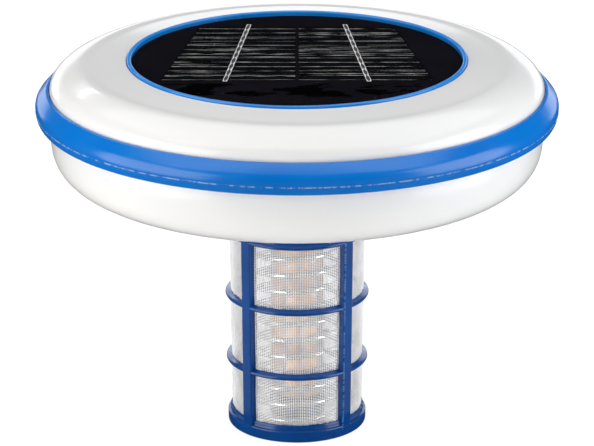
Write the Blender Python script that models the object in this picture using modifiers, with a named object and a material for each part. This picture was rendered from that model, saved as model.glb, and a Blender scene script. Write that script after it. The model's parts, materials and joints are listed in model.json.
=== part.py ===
"""Floating solar pool ioniser, modelled as the separate pieces that it comes apart into.

A hollow two-part float carries a round solar panel. A hub through the float's floor holds a
threaded stud with a copper anode on it, and a stainless coil, the cathode, hangs round the anode.
A mesh basket covers both and is held up by a wing nut on the end of the stud.

The origin is the centre of the basket's foot, +Z is up and the object stands on z = 0.
"""

import math

import bmesh
import bpy
from mathutils import Matrix, Vector

MM = 0.001
GAP = 0.3 * MM  # left between pieces that touch on the real object
MERGE = 0.00001

# Float, from the seam outwards
FLOAT_RADIUS = 127.5 * MM
BUMPER_RADIUS = 135.0 * MM
SEAM_Z = 178.2 * MM
FLOAT_FLOOR_Z = 133.2 * MM
FLOAT_FLOOR_RADIUS = 50.0 * MM
DECK_Z = 197.0 * MM  # ledge in the float's top that the bezel rests on
DECK_EDGE_Z = 197.8 * MM  # the top falls gently from the bezel out to here
DECK_RADIUS = 90.2 * MM  # outer face of the pocket's wall
DECK_EDGE = 104.0 * MM  # where the top starts to round over
LIP_RADIUS = 88.0 * MM  # inner edge of the top, beside the bezel
LIP_TOP = 199.2 * MM
SHELL_WALL = 2.5 * MM
SEAM_FLANGE_RADIUS = 131.0 * MM
SEAM_FLANGE = 2.0 * MM
SEAM_GASKET = 0.9 * MM
UPPER_SHOULDER = 2.3  # power of the upper shell's rounding
LOWER_SHOULDER = 4.0  # power of the lower shell's rounding

# Panel
BEZEL_RADIUS = 87.6 * MM
BEZEL_BORE = 85.3 * MM
BEZEL_TOP = 200.0 * MM
PANEL_TOP = 199.4 * MM
PANEL_RADIUS = 85.0 * MM
POCKET_RADIUS = 86.5 * MM
POCKET_FLOOR = 190.7 * MM
POCKET_BORE = 76.0 * MM
CELL_FRONT = -37.6 * MM
CELL_BACK = 61.6 * MM
CELL_HALF_FRONT = 69.6 * MM
CELL_HALF_BACK = 52.9 * MM
CELL_SPLIT = 0.6 * MM  # half the slit between the two cells
RIBBON_FRONT = Vector((36.1, -40.4)) * MM
RIBBON_BACK = Vector((24.9, 63.9)) * MM
RIBBON_WIDTH = 2.2 * MM

# Hub and electrodes
HUB_RADIUS = 31.5 * MM
HUB_FLANGE_RADIUS = 37.0 * MM
HUB_NECK_RADIUS = 30.0 * MM
HUB_FACE_Z = 117.5 * MM
HUB_PLATE = 3.0 * MM
STUD_RADIUS = 3.0 * MM
STUD_FOOT = 3.0 * MM
STUD_BORE = 3.4 * MM
ANODE_RADIUS = 14.0 * MM
ANODE_FOOT = 16.0 * MM
ANODE_TOP = 114.0 * MM
COIL_RADIUS = 25.5 * MM  # of the wire's centre line
COIL_WIRE = 1.5 * MM  # radius of the wire
COIL_PITCH = 9.0 * MM
COIL_FOOT = 7.0 * MM
COIL_TOP = 114.3 * MM
CATHODE_SCREW_RADIUS = 19.5 * MM  # of the circle that the screws stand on
EYELET = 0.8 * MM  # thickness of a ring terminal

# Basket
BASKET_FOOT_RADIUS = 36.4 * MM
BASKET_DRAFT = 0.0125  # growth of the radius with height
BASKET_TOP = 128.2 * MM
HOOP_HEIGHT = 2.7 * MM
HOOP_EDGE = 1.8 * MM  # height of a hoop's outer face
HOOP_PROUD = 0.4 * MM  # how far a hoop stands out from the basket's taper
HOOP_FEET = (35.2 * MM, 71.2 * MM, 107.3 * MM)
RIM_HEIGHT = 6.2 * MM
SILL_HEIGHT = 8.8 * MM
MESH_INSET = 2.45 * MM
MESH_WALL = 0.5 * MM
RIB_WIDTH = 6.3 * MM
RIB_ANGLES = (45, 135, 225, 315)
CUP_RADIUS = 14.4 * MM
CUP_WALL = 1.5 * MM
CUP_TOP = 13.0 * MM
SPOKE_FOOT = 2.0 * MM
SPOKE_HEIGHT = 2.3 * MM
SPOKE_WIDTH = 3.0 * MM
COLLAR_BORE = 32.2 * MM

ROUND = 40  # sides of a piece as wide as the float
MID_ROUND = 28  # sides of a piece as wide as the basket
SMALL_ROUND = 20


# ---------------------------------------------------------------- scene and materials
def clear_scene():
    for obj in list(bpy.data.objects):
        bpy.data.objects.remove(obj)


def new_collection(name):
    made = bpy.data.collections.new(name)
    bpy.context.scene.collection.children.link(made)
    return made


def material(name, colour, roughness, metallic=0.0, alpha=1.0):
    made = bpy.data.materials.new(name)
    made.use_nodes = True
    shader = made.node_tree.nodes["Principled BSDF"]
    shader.inputs["Base Color"].default_value = (*colour, 1.0)
    shader.inputs["Roughness"].default_value = roughness
    shader.inputs["Metallic"].default_value = metallic
    shader.inputs["Alpha"].default_value = alpha
    return made


clear_scene()
PARTS = new_collection("floating_pool_ioniser")
TOOLS = new_collection("cutters")
WHITE = material("white_shell", (0.90, 0.89, 0.86), 0.22)
LIGHT_BLUE = material("blue_rubber", (0.03, 0.20, 0.72), 0.38)
DARK_BLUE = material("blue_plastic", (0.012, 0.075, 0.36), 0.28)
BLACK = material("panel_black", (0.006, 0.006, 0.010), 0.15)
CELL = material("silicon", (0.012, 0.014, 0.026), 0.30)
CLEAR = material("clear_resin", (0.95, 0.97, 1.0), 0.04, alpha=0.25)
TIN = material("tinned_ribbon", (0.75, 0.76, 0.78), 0.35, 1.0)
STEEL = material("stainless", (0.72, 0.72, 0.70), 0.25, 1.0)
COPPER = material("copper", (0.80, 0.42, 0.26), 0.35, 1.0)
SEAL = material("seal_rubber", (0.03, 0.03, 0.03), 0.70)
HUB_GREY = material("hub_plastic", (0.80, 0.80, 0.78), 0.35)
RED = material("red_insulation", (0.55, 0.02, 0.02), 0.45)
DARK = material("black_insulation", (0.02, 0.02, 0.02), 0.50)


# ---------------------------------------------------------------- building helpers
def place(obj, collection, finish):
    collection.objects.link(obj)
    if finish:
        obj.data.materials.append(finish)
    return obj


def as_tool(obj):
    """Keeps a cutter out of the model."""
    obj.hide_render = True
    obj.display_type = "WIRE"
    return obj


def shade(mesh):
    mesh.shade_smooth()
    mesh.set_sharp_from_angle(angle=math.radians(30))


def solid_mesh(obj):
    """The object's evaluated mesh, welded at its seams and facing out, as new mesh data."""
    bpy.context.view_layer.update()
    graph = bpy.context.evaluated_depsgraph_get()
    mesh = bpy.data.meshes.new_from_object(obj.evaluated_get(graph))
    work = bmesh.new()
    work.from_mesh(mesh)
    bmesh.ops.remove_doubles(work, verts=work.verts, dist=MERGE)
    bmesh.ops.dissolve_degenerate(work, edges=work.edges, dist=MERGE)
    bmesh.ops.recalc_face_normals(work, faces=work.faces)
    work.to_mesh(mesh)
    work.free()
    return mesh


def frozen(obj, name, finish, collection=None):
    """Replaces obj by a plain mesh object of the shape it evaluates to."""
    mesh = solid_mesh(obj)
    matrix = obj.matrix_world.copy()
    bpy.data.objects.remove(obj)
    made = bpy.data.objects.new(name, mesh)
    mesh.materials.clear()
    place(made, collection or PARTS, finish)
    made.matrix_world = matrix
    shade(mesh)
    return made


def turned(name, profile, finish, sides=ROUND, collection=None):
    """A closed (radius, height) outline turned about Z. Points at radius 0 are shared by all sides."""
    mesh = bpy.data.meshes.new(name)
    points = [(r, 0.0, z) for r, z in profile]
    count = len(points)
    on_axis = [r < MERGE for r, _ in profile]
    edges = []
    for i in range(count):
        j = (i + 1) % count
        if not (on_axis[i] and on_axis[j]):
            edges.append((i, j))
    mesh.from_pydata(points, edges, [])
    obj = place(bpy.data.objects.new(name, mesh), collection or PARTS, None)
    screw = obj.modifiers.new("turn", "SCREW")
    screw.axis = "Z"
    screw.steps = sides
    screw.render_steps = sides
    screw.use_merge_vertices = True
    screw.merge_threshold = MERGE
    screw.use_normal_calculate = True
    return frozen(obj, name, finish, collection)


def cylinder(name, radius, low, high, finish, sides=SMALL_ROUND, at=(0.0, 0.0), collection=None):
    """An upright cylinder, or a hexagon with 6 sides, between two heights."""
    mesh = bpy.data.meshes.new(name)
    work = bmesh.new()
    bmesh.ops.create_cone(
        work, cap_ends=True, segments=sides, radius1=radius, radius2=radius, depth=high - low
    )
    work.to_mesh(mesh)
    work.free()
    obj = place(bpy.data.objects.new(name, mesh), collection or PARTS, finish)
    obj.location = (at[0], at[1], (low + high) / 2)
    shade(mesh)
    return obj


def box(name, size, centre, finish, angle=0.0, collection=None):
    """A box of size (x, y, z) whose centre is turned about Z by angle degrees."""
    mesh = bpy.data.meshes.new(name)
    work = bmesh.new()
    bmesh.ops.create_cube(work, size=1.0)
    bmesh.ops.scale(work, vec=size, verts=work.verts)
    work.to_mesh(mesh)
    work.free()
    obj = place(bpy.data.objects.new(name, mesh), collection or PARTS, finish)
    turn = Matrix.Rotation(math.radians(angle), 4, "Z")
    obj.matrix_world = turn @ Matrix.Translation(centre)
    return obj


def plate(name, outline, low, thickness, finish, collection=None):
    """A flat outline of (x, y) points, extruded upwards."""
    curve = bpy.data.curves.new(name, "CURVE")
    curve.dimensions = "2D"
    curve.fill_mode = "BOTH"
    curve.extrude = thickness / 2
    spline = curve.splines.new("POLY")
    spline.points.add(len(outline) - 1)
    for point, (x, y) in zip(spline.points, outline):
        point.co = (x, y, 0.0, 1.0)
    spline.use_cyclic_u = True
    obj = place(bpy.data.objects.new(name, curve), collection or PARTS, None)
    obj.location = (0.0, 0.0, low + thickness / 2)
    return frozen(obj, name, finish, collection)


def wire(name, points, radius, finish, resolution=1):
    """A round wire through the points, with flat ends."""
    curve = bpy.data.curves.new(name, "CURVE")
    curve.dimensions = "3D"
    curve.bevel_depth = radius
    curve.bevel_resolution = resolution
    curve.use_fill_caps = True
    spline = curve.splines.new("POLY")
    spline.points.add(len(points) - 1)
    for point, at in zip(spline.points, points):
        point.co = (*at, 1.0)
    return place(bpy.data.objects.new(name, curve), PARTS, finish)


def combine(obj, others, operation):
    """Joins the other solids to obj, or cuts them from it, and clears them away."""
    name = obj.name
    finish = obj.data.materials[0] if obj.data.materials else None
    for other in others:
        as_tool(other)
        change = obj.modifiers.new(operation.lower(), "BOOLEAN")
        change.operation = operation
        change.solver = "EXACT"
        change.object = other
    obj.name = name + "_raw"
    made = frozen(obj, name, finish)
    for other in others:
        bpy.data.objects.remove(other)
    return made


def joined(obj, others):
    return combine(obj, others, "UNION")


def cut(obj, others):
    return combine(obj, others, "DIFFERENCE")


def cutter(radius, low, high, at=(0.0, 0.0), sides=SMALL_ROUND):
    return cylinder("cutter", radius, low, high, None, sides, at, TOOLS)


def ring_profile(inner, outer, low, high, edge=0.0):
    """A ring's section, with its outer corners bevelled by edge."""
    if not edge:
        return [(inner, low), (outer, low), (outer, high), (inner, high)]
    return [
        (inner, low),
        (outer - edge, low),
        (outer, low + edge),
        (outer, high - edge),
        (outer - edge, high),
        (inner, high),
    ]


def smooth_route(points, count):
    """Points along a smooth curve through a few route points."""
    knots = [points[0], *points, points[-1]]
    route = []
    spans = len(points) - 1
    for i in range(count + 1):
        t = min(i * spans / count, spans - 1e-9)
        k = int(t)
        u = t - k
        a, b, c, d = (Vector(p) for p in knots[k : k + 4])
        route.append(
            0.5
            * (
                2 * b
                + (c - a) * u
                + (2 * a - 5 * b + 4 * c - d) * u**2
                + (3 * b - a - 3 * c + d) * u**3
            )
        )
    return route


# ---------------------------------------------------------------- float
def shoulder(r_flat, z_flat, r_side, z_side, power, count):
    """Points of a rounded corner from a flat face to a side wall, as a superellipse quarter."""
    points = []
    for i in range(count + 1):
        u = math.sin(math.pi / 2 * i / count)
        r = r_flat + (r_side - r_flat) * (1 - u**power) ** (1 / power)
        z = z_side + (z_flat - z_side) * u
        points.append((r, z))
    return points


def make_upper_shell():
    """Top half of the float, with the pocket that the panel lies in."""
    seam = SEAM_Z + SEAM_GASKET / 2 + GAP
    side_z = 183.0 * MM
    outside = shoulder(DECK_EDGE, DECK_EDGE_Z, FLOAT_RADIUS, side_z, UPPER_SHOULDER, 7)
    inside = shoulder(
        DECK_EDGE,
        DECK_EDGE_Z - SHELL_WALL,
        FLOAT_RADIUS - SHELL_WALL,
        side_z,
        UPPER_SHOULDER,
        4,
    )
    profile = [(FLOAT_RADIUS - SHELL_WALL, seam), (SEAM_FLANGE_RADIUS, seam)]
    profile += [(SEAM_FLANGE_RADIUS, seam + SEAM_FLANGE), (FLOAT_RADIUS, seam + SEAM_FLANGE)]
    profile += outside + [(LIP_RADIUS, LIP_TOP), (LIP_RADIUS, DECK_Z)]
    profile += [(POCKET_RADIUS, DECK_Z), (POCKET_RADIUS, POCKET_FLOOR), (POCKET_BORE, POCKET_FLOOR)]
    profile += [(POCKET_BORE, POCKET_FLOOR - SHELL_WALL)]
    profile += [(DECK_RADIUS - 1.0 * MM, POCKET_FLOOR - SHELL_WALL)]
    profile += [(DECK_RADIUS, LIP_TOP - SHELL_WALL - 0.2 * MM)] + inside[::-1]
    return turned("upper_shell", profile, WHITE)


def make_lower_shell():
    """Bottom half of the float, open in the middle for the hub's neck."""
    seam = SEAM_Z - SEAM_GASKET / 2 - GAP
    side_z = 170.0 * MM
    bore = HUB_NECK_RADIUS + 0.5 * MM
    outside = shoulder(
        FLOAT_FLOOR_RADIUS, FLOAT_FLOOR_Z, FLOAT_RADIUS, side_z, LOWER_SHOULDER, 9
    )
    inside = shoulder(
        FLOAT_FLOOR_RADIUS,
        FLOAT_FLOOR_Z + SHELL_WALL,
        FLOAT_RADIUS - SHELL_WALL,
        side_z,
        LOWER_SHOULDER,
        5,
    )
    profile = [(FLOAT_RADIUS - SHELL_WALL, seam), (SEAM_FLANGE_RADIUS, seam)]
    profile += [(SEAM_FLANGE_RADIUS, seam - SEAM_FLANGE), (FLOAT_RADIUS, seam - SEAM_FLANGE)]
    profile += outside
    profile += [(bore, FLOAT_FLOOR_Z), (bore, FLOAT_FLOOR_Z + SHELL_WALL)]
    profile += inside[::-1]
    return turned("lower_shell", profile, WHITE)


def make_seam_gasket():
    profile = ring_profile(
        FLOAT_RADIUS - SHELL_WALL, 130.4 * MM, SEAM_Z - SEAM_GASKET / 2, SEAM_Z + SEAM_GASKET / 2
    )
    return turned("seam_gasket", profile, SEAL)


def make_bumper_ring():
    """Soft band that grips the seam flanges: a sloping upper face, an upright front, a rounded foot."""
    channel = SEAM_FLANGE_RADIUS + GAP
    reach = SEAM_FLANGE + SEAM_GASKET / 2 + 2 * GAP
    lip = FLOAT_RADIUS + 0.5 * MM
    profile = [
        (lip, 184.6 * MM),
        (129.3 * MM, 184.6 * MM),
        (133.7 * MM, 179.7 * MM),
        (134.7 * MM, 177.9 * MM),
        (BUMPER_RADIUS, 176.2 * MM),
        (BUMPER_RADIUS, 174.5 * MM),
        (134.6 * MM, 171.6 * MM),
        (133.4 * MM, 169.6 * MM),
        (131.4 * MM, 168.9 * MM),
        (lip, 168.9 * MM),
        (lip, SEAM_Z - reach),
        (channel, SEAM_Z - reach),
        (channel, SEAM_Z + reach),
        (lip, SEAM_Z + reach),
    ]
    return turned("bumper_ring", profile, LIGHT_BLUE)


# ---------------------------------------------------------------- panel
def make_panel():
    """The round panel, from the gasket in the pocket up to the clear cover, and its bezel."""
    turned(
        "panel_gasket",
        ring_profile(POCKET_BORE + 1.0 * MM, 84.6 * MM, POCKET_FLOOR + GAP, 192.3 * MM),
        SEAL,
    )
    board_top = 196.0 * MM
    cylinder("panel_board", PANEL_RADIUS, 192.6 * MM, board_top, BLACK, ROUND)
    cell_low = board_top + GAP
    for side, name in ((-1, "solar_cell_left"), (1, "solar_cell_right")):
        outline = [
            (side * CELL_SPLIT, CELL_FRONT),
            (side * CELL_HALF_FRONT, CELL_FRONT),
            (side * CELL_HALF_BACK, CELL_BACK),
            (side * CELL_SPLIT, CELL_BACK),
        ]
        plate(name, outline, cell_low, 0.3 * MM, CELL)
    ribbon_low = cell_low + 0.6 * MM
    half = RIBBON_WIDTH / 2
    for side, name in ((-1, "cell_ribbon_left"), (1, "cell_ribbon_right")):
        outline = [
            (side * RIBBON_FRONT.x - half, RIBBON_FRONT.y),
            (side * RIBBON_FRONT.x + half, RIBBON_FRONT.y),
            (side * RIBBON_BACK.x + half, RIBBON_BACK.y),
            (side * RIBBON_BACK.x - half, RIBBON_BACK.y),
        ]
        plate(name, outline, ribbon_low, 0.2 * MM, TIN)
    cylinder("panel_cover", PANEL_RADIUS, PANEL_TOP - 1.8 * MM, PANEL_TOP, CLEAR, ROUND)
    skirt = 86.2 * MM
    head = DECK_Z + GAP
    bezel = [
        (BEZEL_BORE, 192.9 * MM),
        (skirt, 192.9 * MM),
        (skirt, head),
        (BEZEL_RADIUS, head),
        (BEZEL_RADIUS, BEZEL_TOP - 0.7 * MM),
        (BEZEL_RADIUS - 0.7 * MM, BEZEL_TOP),
        (BEZEL_BORE + 0.4 * MM, BEZEL_TOP),
        (BEZEL_BORE, BEZEL_TOP - 0.4 * MM),
    ]
    turned("panel_bezel", bezel, LIGHT_BLUE)
    junction = box(
        "junction_box", (26 * MM, 18 * MM, 8 * MM), (0, 0, 188.3 * MM), BLACK
    )
    bevel = junction.modifiers.new("edges", "BEVEL")
    bevel.width = 1.0 * MM
    bevel.segments = 2


# ---------------------------------------------------------------- hub
def make_hub():
    """Cup-shaped fitting through the float's floor, sealed below it and locked above it."""
    flange_low = 128.5 * MM
    flange_high = 131.2 * MM
    plate_top = HUB_FACE_Z + HUB_PLATE
    bore = 28.5 * MM
    neck_top = 147.0 * MM
    neck_bore = 27.0 * MM
    boss = 7.5 * MM
    profile = [
        (STUD_BORE, HUB_FACE_Z),
        (HUB_RADIUS, HUB_FACE_Z),
        (HUB_RADIUS, flange_low),
        (HUB_FLANGE_RADIUS, flange_low),
        (HUB_FLANGE_RADIUS, flange_high),
        (HUB_NECK_RADIUS, flange_high),
        (HUB_NECK_RADIUS, neck_top),
        (neck_bore, neck_top),
        (neck_bore, 134.0 * MM),
        (bore, 131.0 * MM),
        (bore, plate_top),
        (boss, plate_top),
        (boss, plate_top + 1.2 * MM),
        (STUD_BORE, plate_top + 1.2 * MM),
    ]
    hub = turned("electrode_hub", profile, HUB_GREY, MID_ROUND)
    holes = [
        cutter(1.9 * MM, HUB_FACE_Z - 2 * MM, plate_top + 2 * MM, at, 16)
        for at in cathode_screw_places()
    ]
    cut(hub, holes)
    turned(
        "hub_seal",
        ring_profile(HUB_NECK_RADIUS + 0.8 * MM, 36.5 * MM, 131.5 * MM, FLOAT_FLOOR_Z - GAP),
        SEAL,
        MID_ROUND,
    )
    ring_low = FLOAT_FLOOR_Z + SHELL_WALL + GAP
    ring = turned(
        "hub_lock_ring",
        ring_profile(HUB_NECK_RADIUS + GAP, 37.5 * MM, ring_low, ring_low + 6.0 * MM),
        HUB_GREY,
        MID_ROUND,
    )
    notches = [
        box(
            "cutter",
            (6 * MM, 6 * MM, 5 * MM),
            (38.0 * MM, 0, ring_low + 5.6 * MM),
            None,
            angle,
            TOOLS,
        )
        for angle in range(0, 360, 60)
    ]
    cut(ring, notches)


def cathode_screw_places():
    return ((CATHODE_SCREW_RADIUS, 0.0), (-CATHODE_SCREW_RADIUS, 0.0))


def hex_nut(name, across_flats, low, height, bore, finish, at=(0.0, 0.0)):
    nut = cylinder(name, across_flats / math.sqrt(3), low, low + height, finish, 6, at)
    return cut(nut, [cutter(bore, low - 1 * MM, low + height + 1 * MM, at, 16)])


def make_cathode_contact():
    """Ring plate that the coil's top turn bears on, with its screws, nuts and the negative terminal."""
    plate_low = 116.2 * MM
    ring = turned(
        "cathode_ring",
        ring_profile(15.8 * MM, 28.6 * MM, plate_low, 117.2 * MM),
        STEEL,
        MID_ROUND,
    )
    cut(ring, [cutter(1.9 * MM, 115 * MM, 119 * MM, at, 16) for at in cathode_screw_places()])
    head_high = plate_low - GAP
    shank = 1.5 * MM
    for i, (x, y) in enumerate(cathode_screw_places(), 1):
        screw = turned(
            f"cathode_screw_{i}",
            [
                (0.0, head_high - 1.8 * MM),
                (2.0 * MM, head_high - 1.8 * MM),
                (2.8 * MM, head_high - 0.9 * MM),
                (2.8 * MM, head_high),
                (shank, head_high),
                (shank, 127.0 * MM),
                (0.0, 127.0 * MM),
            ],
            STEEL,
            16,
        )
        screw.location = (x, y, 0.0)
        terminal = EYELET + GAP if i == 1 else 0.0
        nut_low = HUB_FACE_Z + HUB_PLATE + GAP + terminal
        hex_nut(f"cathode_nut_{i}", 5.5 * MM, nut_low, 2.4 * MM, 1.8 * MM, STEEL, (x, y))
    terminal_low = HUB_FACE_Z + HUB_PLATE + GAP
    eyelet("negative_terminal", cathode_screw_places()[0], 1.9 * MM, 3.2 * MM, terminal_low, 180)


def eyelet(name, at, bore, nut_radius, low, angle):
    """Ring terminal: a washer under the nut, with a crimp barrel on the side that angle points to."""
    length = 6.4 * MM
    turn = Matrix.Rotation(math.radians(angle), 4, "Z")
    centre = Vector((nut_radius + GAP + length / 2, 0.0, low + 1.1 * MM))
    barrel = box(name + "_barrel", (length, 2.6 * MM, 2.2 * MM), centre, TIN, 0, TOOLS)
    barrel.matrix_world = Matrix.Translation((*at, 0.0)) @ turn @ Matrix.Translation(centre)
    washer = cylinder(name, nut_radius + 0.9 * MM, low, low + EYELET, TIN, SMALL_ROUND, at)
    washer = joined(washer, [barrel])
    return cut(washer, [cutter(bore, low - 1 * MM, low + 4 * MM, at, 16)])


# ---------------------------------------------------------------- electrodes
def make_anode():
    """Copper rod on the stud, with a nut sunk into its foot and a spacer under the hub."""
    sink = 7.6 * MM
    sink_radius = 7.2 * MM
    edge = 1.0 * MM
    profile = [
        (STUD_BORE, ANODE_FOOT + sink),
        (sink_radius, ANODE_FOOT + sink),
        (sink_radius, ANODE_FOOT),
        (ANODE_RADIUS - edge, ANODE_FOOT),
        (ANODE_RADIUS, ANODE_FOOT + edge),
        (ANODE_RADIUS, ANODE_TOP - edge),
        (ANODE_RADIUS - edge, ANODE_TOP),
        (STUD_BORE, ANODE_TOP),
    ]
    turned("anode", profile, COPPER, MID_ROUND)
    nut_low = ANODE_FOOT + sink - GAP - 6.0 * MM
    hex_nut("anode_nut", 10.0 * MM, nut_low, 5.0 * MM, STUD_BORE, STEEL)
    turned(
        "anode_washer",
        ring_profile(STUD_BORE, 6.6 * MM, nut_low + 5.2 * MM, ANODE_FOOT + sink - 0.2 * MM),
        STEEL,
        SMALL_ROUND,
    )
    turned(
        "anode_spacer",
        ring_profile(STUD_BORE, 12.0 * MM, ANODE_TOP + GAP, HUB_FACE_Z - GAP),
        SEAL,
        SMALL_ROUND,
    )


def make_stud():
    """M6 stud that hangs from the hub, with its nut and the positive terminal inside the float."""
    edge = 0.7 * MM
    top = 134.0 * MM
    profile = [
        (0.0, STUD_FOOT),
        (STUD_RADIUS - edge, STUD_FOOT),
        (STUD_RADIUS, STUD_FOOT + edge),
        (STUD_RADIUS, top),
        (0.0, top),
    ]
    turned("anode_stud", profile, STEEL, SMALL_ROUND)
    hub_top = HUB_FACE_Z + HUB_PLATE + 1.2 * MM
    eyelet("positive_terminal", (0.0, 0.0), STUD_BORE, 5.8 * MM, hub_top + GAP, 90)
    hex_nut("stud_nut", 10.0 * MM, hub_top + EYELET + 2 * GAP, 5.0 * MM, STUD_BORE, STEEL)


def coil_points():
    """Centre line of the coil: part of a flat turn at each end and an even pitch between them."""
    per_turn = 12
    turns = (COIL_TOP - COIL_FOOT) / COIL_PITCH
    flat = 0.6  # of a turn at each end
    total = turns + 2 * flat
    steps = int(total * per_turn)
    points = []
    for i in range(steps + 1):
        t = total * i / steps
        climbed = min(max(t - flat, 0.0), turns) / turns
        angle = 2 * math.pi * t
        x = COIL_RADIUS * math.cos(angle)
        y = COIL_RADIUS * math.sin(angle)
        points.append((x, y, COIL_FOOT + climbed * (COIL_TOP - COIL_FOOT)))
    return points


def make_coil():
    wire("cathode_coil", coil_points(), COIL_WIRE, STEEL)


# ---------------------------------------------------------------- basket
def basket_radius(z):
    return BASKET_FOOT_RADIUS + BASKET_DRAFT * z


def mesh_radius(z):
    return basket_radius(z) - MESH_INSET


def hoop_outline(foot):
    """Outer half of a hoop's section: a rounded foot, a low face and a top that slopes to the mesh."""
    outer = basket_radius(foot) + HOOP_PROUD
    return [
        (outer - 0.4 * MM, foot),
        (outer, foot + 0.4 * MM),
        (outer - 0.1 * MM, foot + HOOP_EDGE - 0.3 * MM),
        (outer - 0.5 * MM, foot + HOOP_EDGE),
    ]


def make_basket_frame():
    """Moulded cage: foot rim, three hoops, collar, four ribs, four floor spokes and the nut's cup."""
    ledge = SPOKE_FOOT + SPOKE_HEIGHT
    bore = mesh_radius(0) + GAP
    sill = basket_radius(RIM_HEIGHT) - 1.2 * MM
    rim = turned(
        "basket_frame",
        [
            (31.0 * MM, 0.0),
            (BASKET_FOOT_RADIUS - 0.6 * MM, 0.0),
            (BASKET_FOOT_RADIUS, 0.6 * MM),
            (basket_radius(RIM_HEIGHT), RIM_HEIGHT - 0.5 * MM),
            (basket_radius(RIM_HEIGHT) - 0.5 * MM, RIM_HEIGHT),
            (sill, RIM_HEIGHT),
            (sill, SILL_HEIGHT),
            (bore, SILL_HEIGHT),
            (bore, ledge),
            (31.0 * MM, ledge),
        ],
        DARK_BLUE,
        MID_ROUND,
    )
    pieces = []
    for i, foot in enumerate(HOOP_FEET[:2], 1):
        inner = mesh_radius(foot + HOOP_HEIGHT) + GAP
        profile = [(inner, foot), *hoop_outline(foot), (inner, foot + HOOP_HEIGHT)]
        pieces.append(turned(f"hoop_{i}", profile, None, MID_ROUND, TOOLS))
    collar_foot = HOOP_FEET[2]
    ledge_top = collar_foot + HOOP_HEIGHT
    bore = mesh_radius(ledge_top) + GAP
    collar_radius = bore + 1.4 * MM
    collar = [
        (bore, collar_foot),
        *hoop_outline(collar_foot),
        (collar_radius, ledge_top),
        (collar_radius, BASKET_TOP),
        (COLLAR_BORE, BASKET_TOP),
        (COLLAR_BORE, ledge_top),
        (bore, ledge_top),
    ]
    pieces.append(turned("collar", collar, None, MID_ROUND, TOOLS))
    for angle in RIB_ANGLES:
        pieces.append(rib(angle))
        pieces.append(spoke(angle))
    roof = CUP_TOP - 2.0 * MM
    cup = [
        (STUD_BORE, roof),
        (CUP_RADIUS - CUP_WALL, roof),
        (CUP_RADIUS - CUP_WALL, SPOKE_FOOT),
        (CUP_RADIUS, SPOKE_FOOT),
        (CUP_RADIUS, CUP_TOP),
        (STUD_BORE, CUP_TOP),
    ]
    pieces.append(turned("cup", cup, None, SMALL_ROUND, TOOLS))
    return joined(rim, pieces)


def rib(angle):
    """Upright bar that grows out of the rim and follows the basket's taper up to the collar."""
    low = 3.0 * MM
    clear = 12.0 * MM
    high = HOOP_FEET[2] + 1.2 * MM
    outline = [
        (mesh_radius(SILL_HEIGHT) + GAP, low),
        (basket_radius(low) - 0.15 * MM, low),
        (basket_radius(clear) + HOOP_PROUD, clear),
        (basket_radius(high) + HOOP_PROUD + 0.05 * MM, high),
        (mesh_radius(high) + GAP, high),
        (mesh_radius(SILL_HEIGHT) + GAP, SILL_HEIGHT),
    ]
    obj = plate("rib", outline, -RIB_WIDTH / 2, RIB_WIDTH, None, TOOLS)
    turn = Matrix.Rotation(math.radians(angle), 4, "Z")
    obj.matrix_world = turn @ Matrix.Rotation(math.radians(90), 4, "X") @ obj.matrix_world
    return obj


def spoke(angle):
    inner = CUP_RADIUS - CUP_WALL / 2
    outer = 31.8 * MM
    size = (outer - inner, SPOKE_WIDTH, SPOKE_HEIGHT)
    centre = ((inner + outer) / 2, 0.0, SPOKE_FOOT + SPOKE_HEIGHT / 2)
    return box("spoke", size, centre, None, angle, TOOLS)


def make_basket_mesh():
    """The woven sleeve and the woven floor, as thin plain walls."""
    low = SPOKE_FOOT + SPOKE_HEIGHT + 1.0 * MM
    high = HOOP_FEET[2] + HOOP_HEIGHT - GAP
    sleeve = [
        (mesh_radius(low) - MESH_WALL, low),
        (mesh_radius(low), low),
        (mesh_radius(high), high),
        (mesh_radius(high) - MESH_WALL, high),
    ]
    turned("basket_mesh", sleeve, STEEL, MID_ROUND)
    floor_low = SPOKE_FOOT + SPOKE_HEIGHT + GAP
    floor = ring_profile(CUP_RADIUS + GAP, 32.6 * MM, floor_low, floor_low + MESH_WALL)
    turned("floor_mesh", floor, STEEL, MID_ROUND)


def make_wing_nut():
    """Wing nut under the cup's roof, with its washer. The wings point down, clear of the ground."""
    washer_high = CUP_TOP - 2.0 * MM - GAP
    washer_low = washer_high - 0.8 * MM
    turned(
        "nut_washer", ring_profile(STUD_BORE, 7.0 * MM, washer_low, washer_high), STEEL, SMALL_ROUND
    )
    top = washer_low - GAP
    foot = top - 5.2 * MM
    body = turned(
        "wing_nut",
        [
            (STUD_BORE, foot),
            (4.6 * MM, foot),
            (5.8 * MM, top - 1.2 * MM),
            (5.8 * MM, top),
            (STUD_BORE, top),
        ],
        STEEL,
        SMALL_ROUND,
    )
    wings = [wing(side, foot, top) for side in (-1, 1)]
    return joined(body, wings)


def wing(side, foot, top):
    """Flat rounded lobe that leans out and down from the nut's body."""
    lobe = 3.3 * MM
    centre_x = 8.6 * MM
    centre_z = foot + 1.0 * MM
    thick = 1.7 * MM
    outline = [(4.0 * MM, top - 1.6 * MM), (4.0 * MM, foot + 0.2 * MM)]
    for i in range(9):
        angle = math.radians(-110 + 200 * i / 8)
        outline.append((centre_x + lobe * math.cos(angle), centre_z + lobe * math.sin(angle)))
    obj = plate("wing", [(side * x, z) for x, z in outline], -thick / 2, thick, None, TOOLS)
    obj.matrix_world = Matrix.Rotation(math.radians(90), 4, "X") @ obj.matrix_world
    return obj


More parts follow.
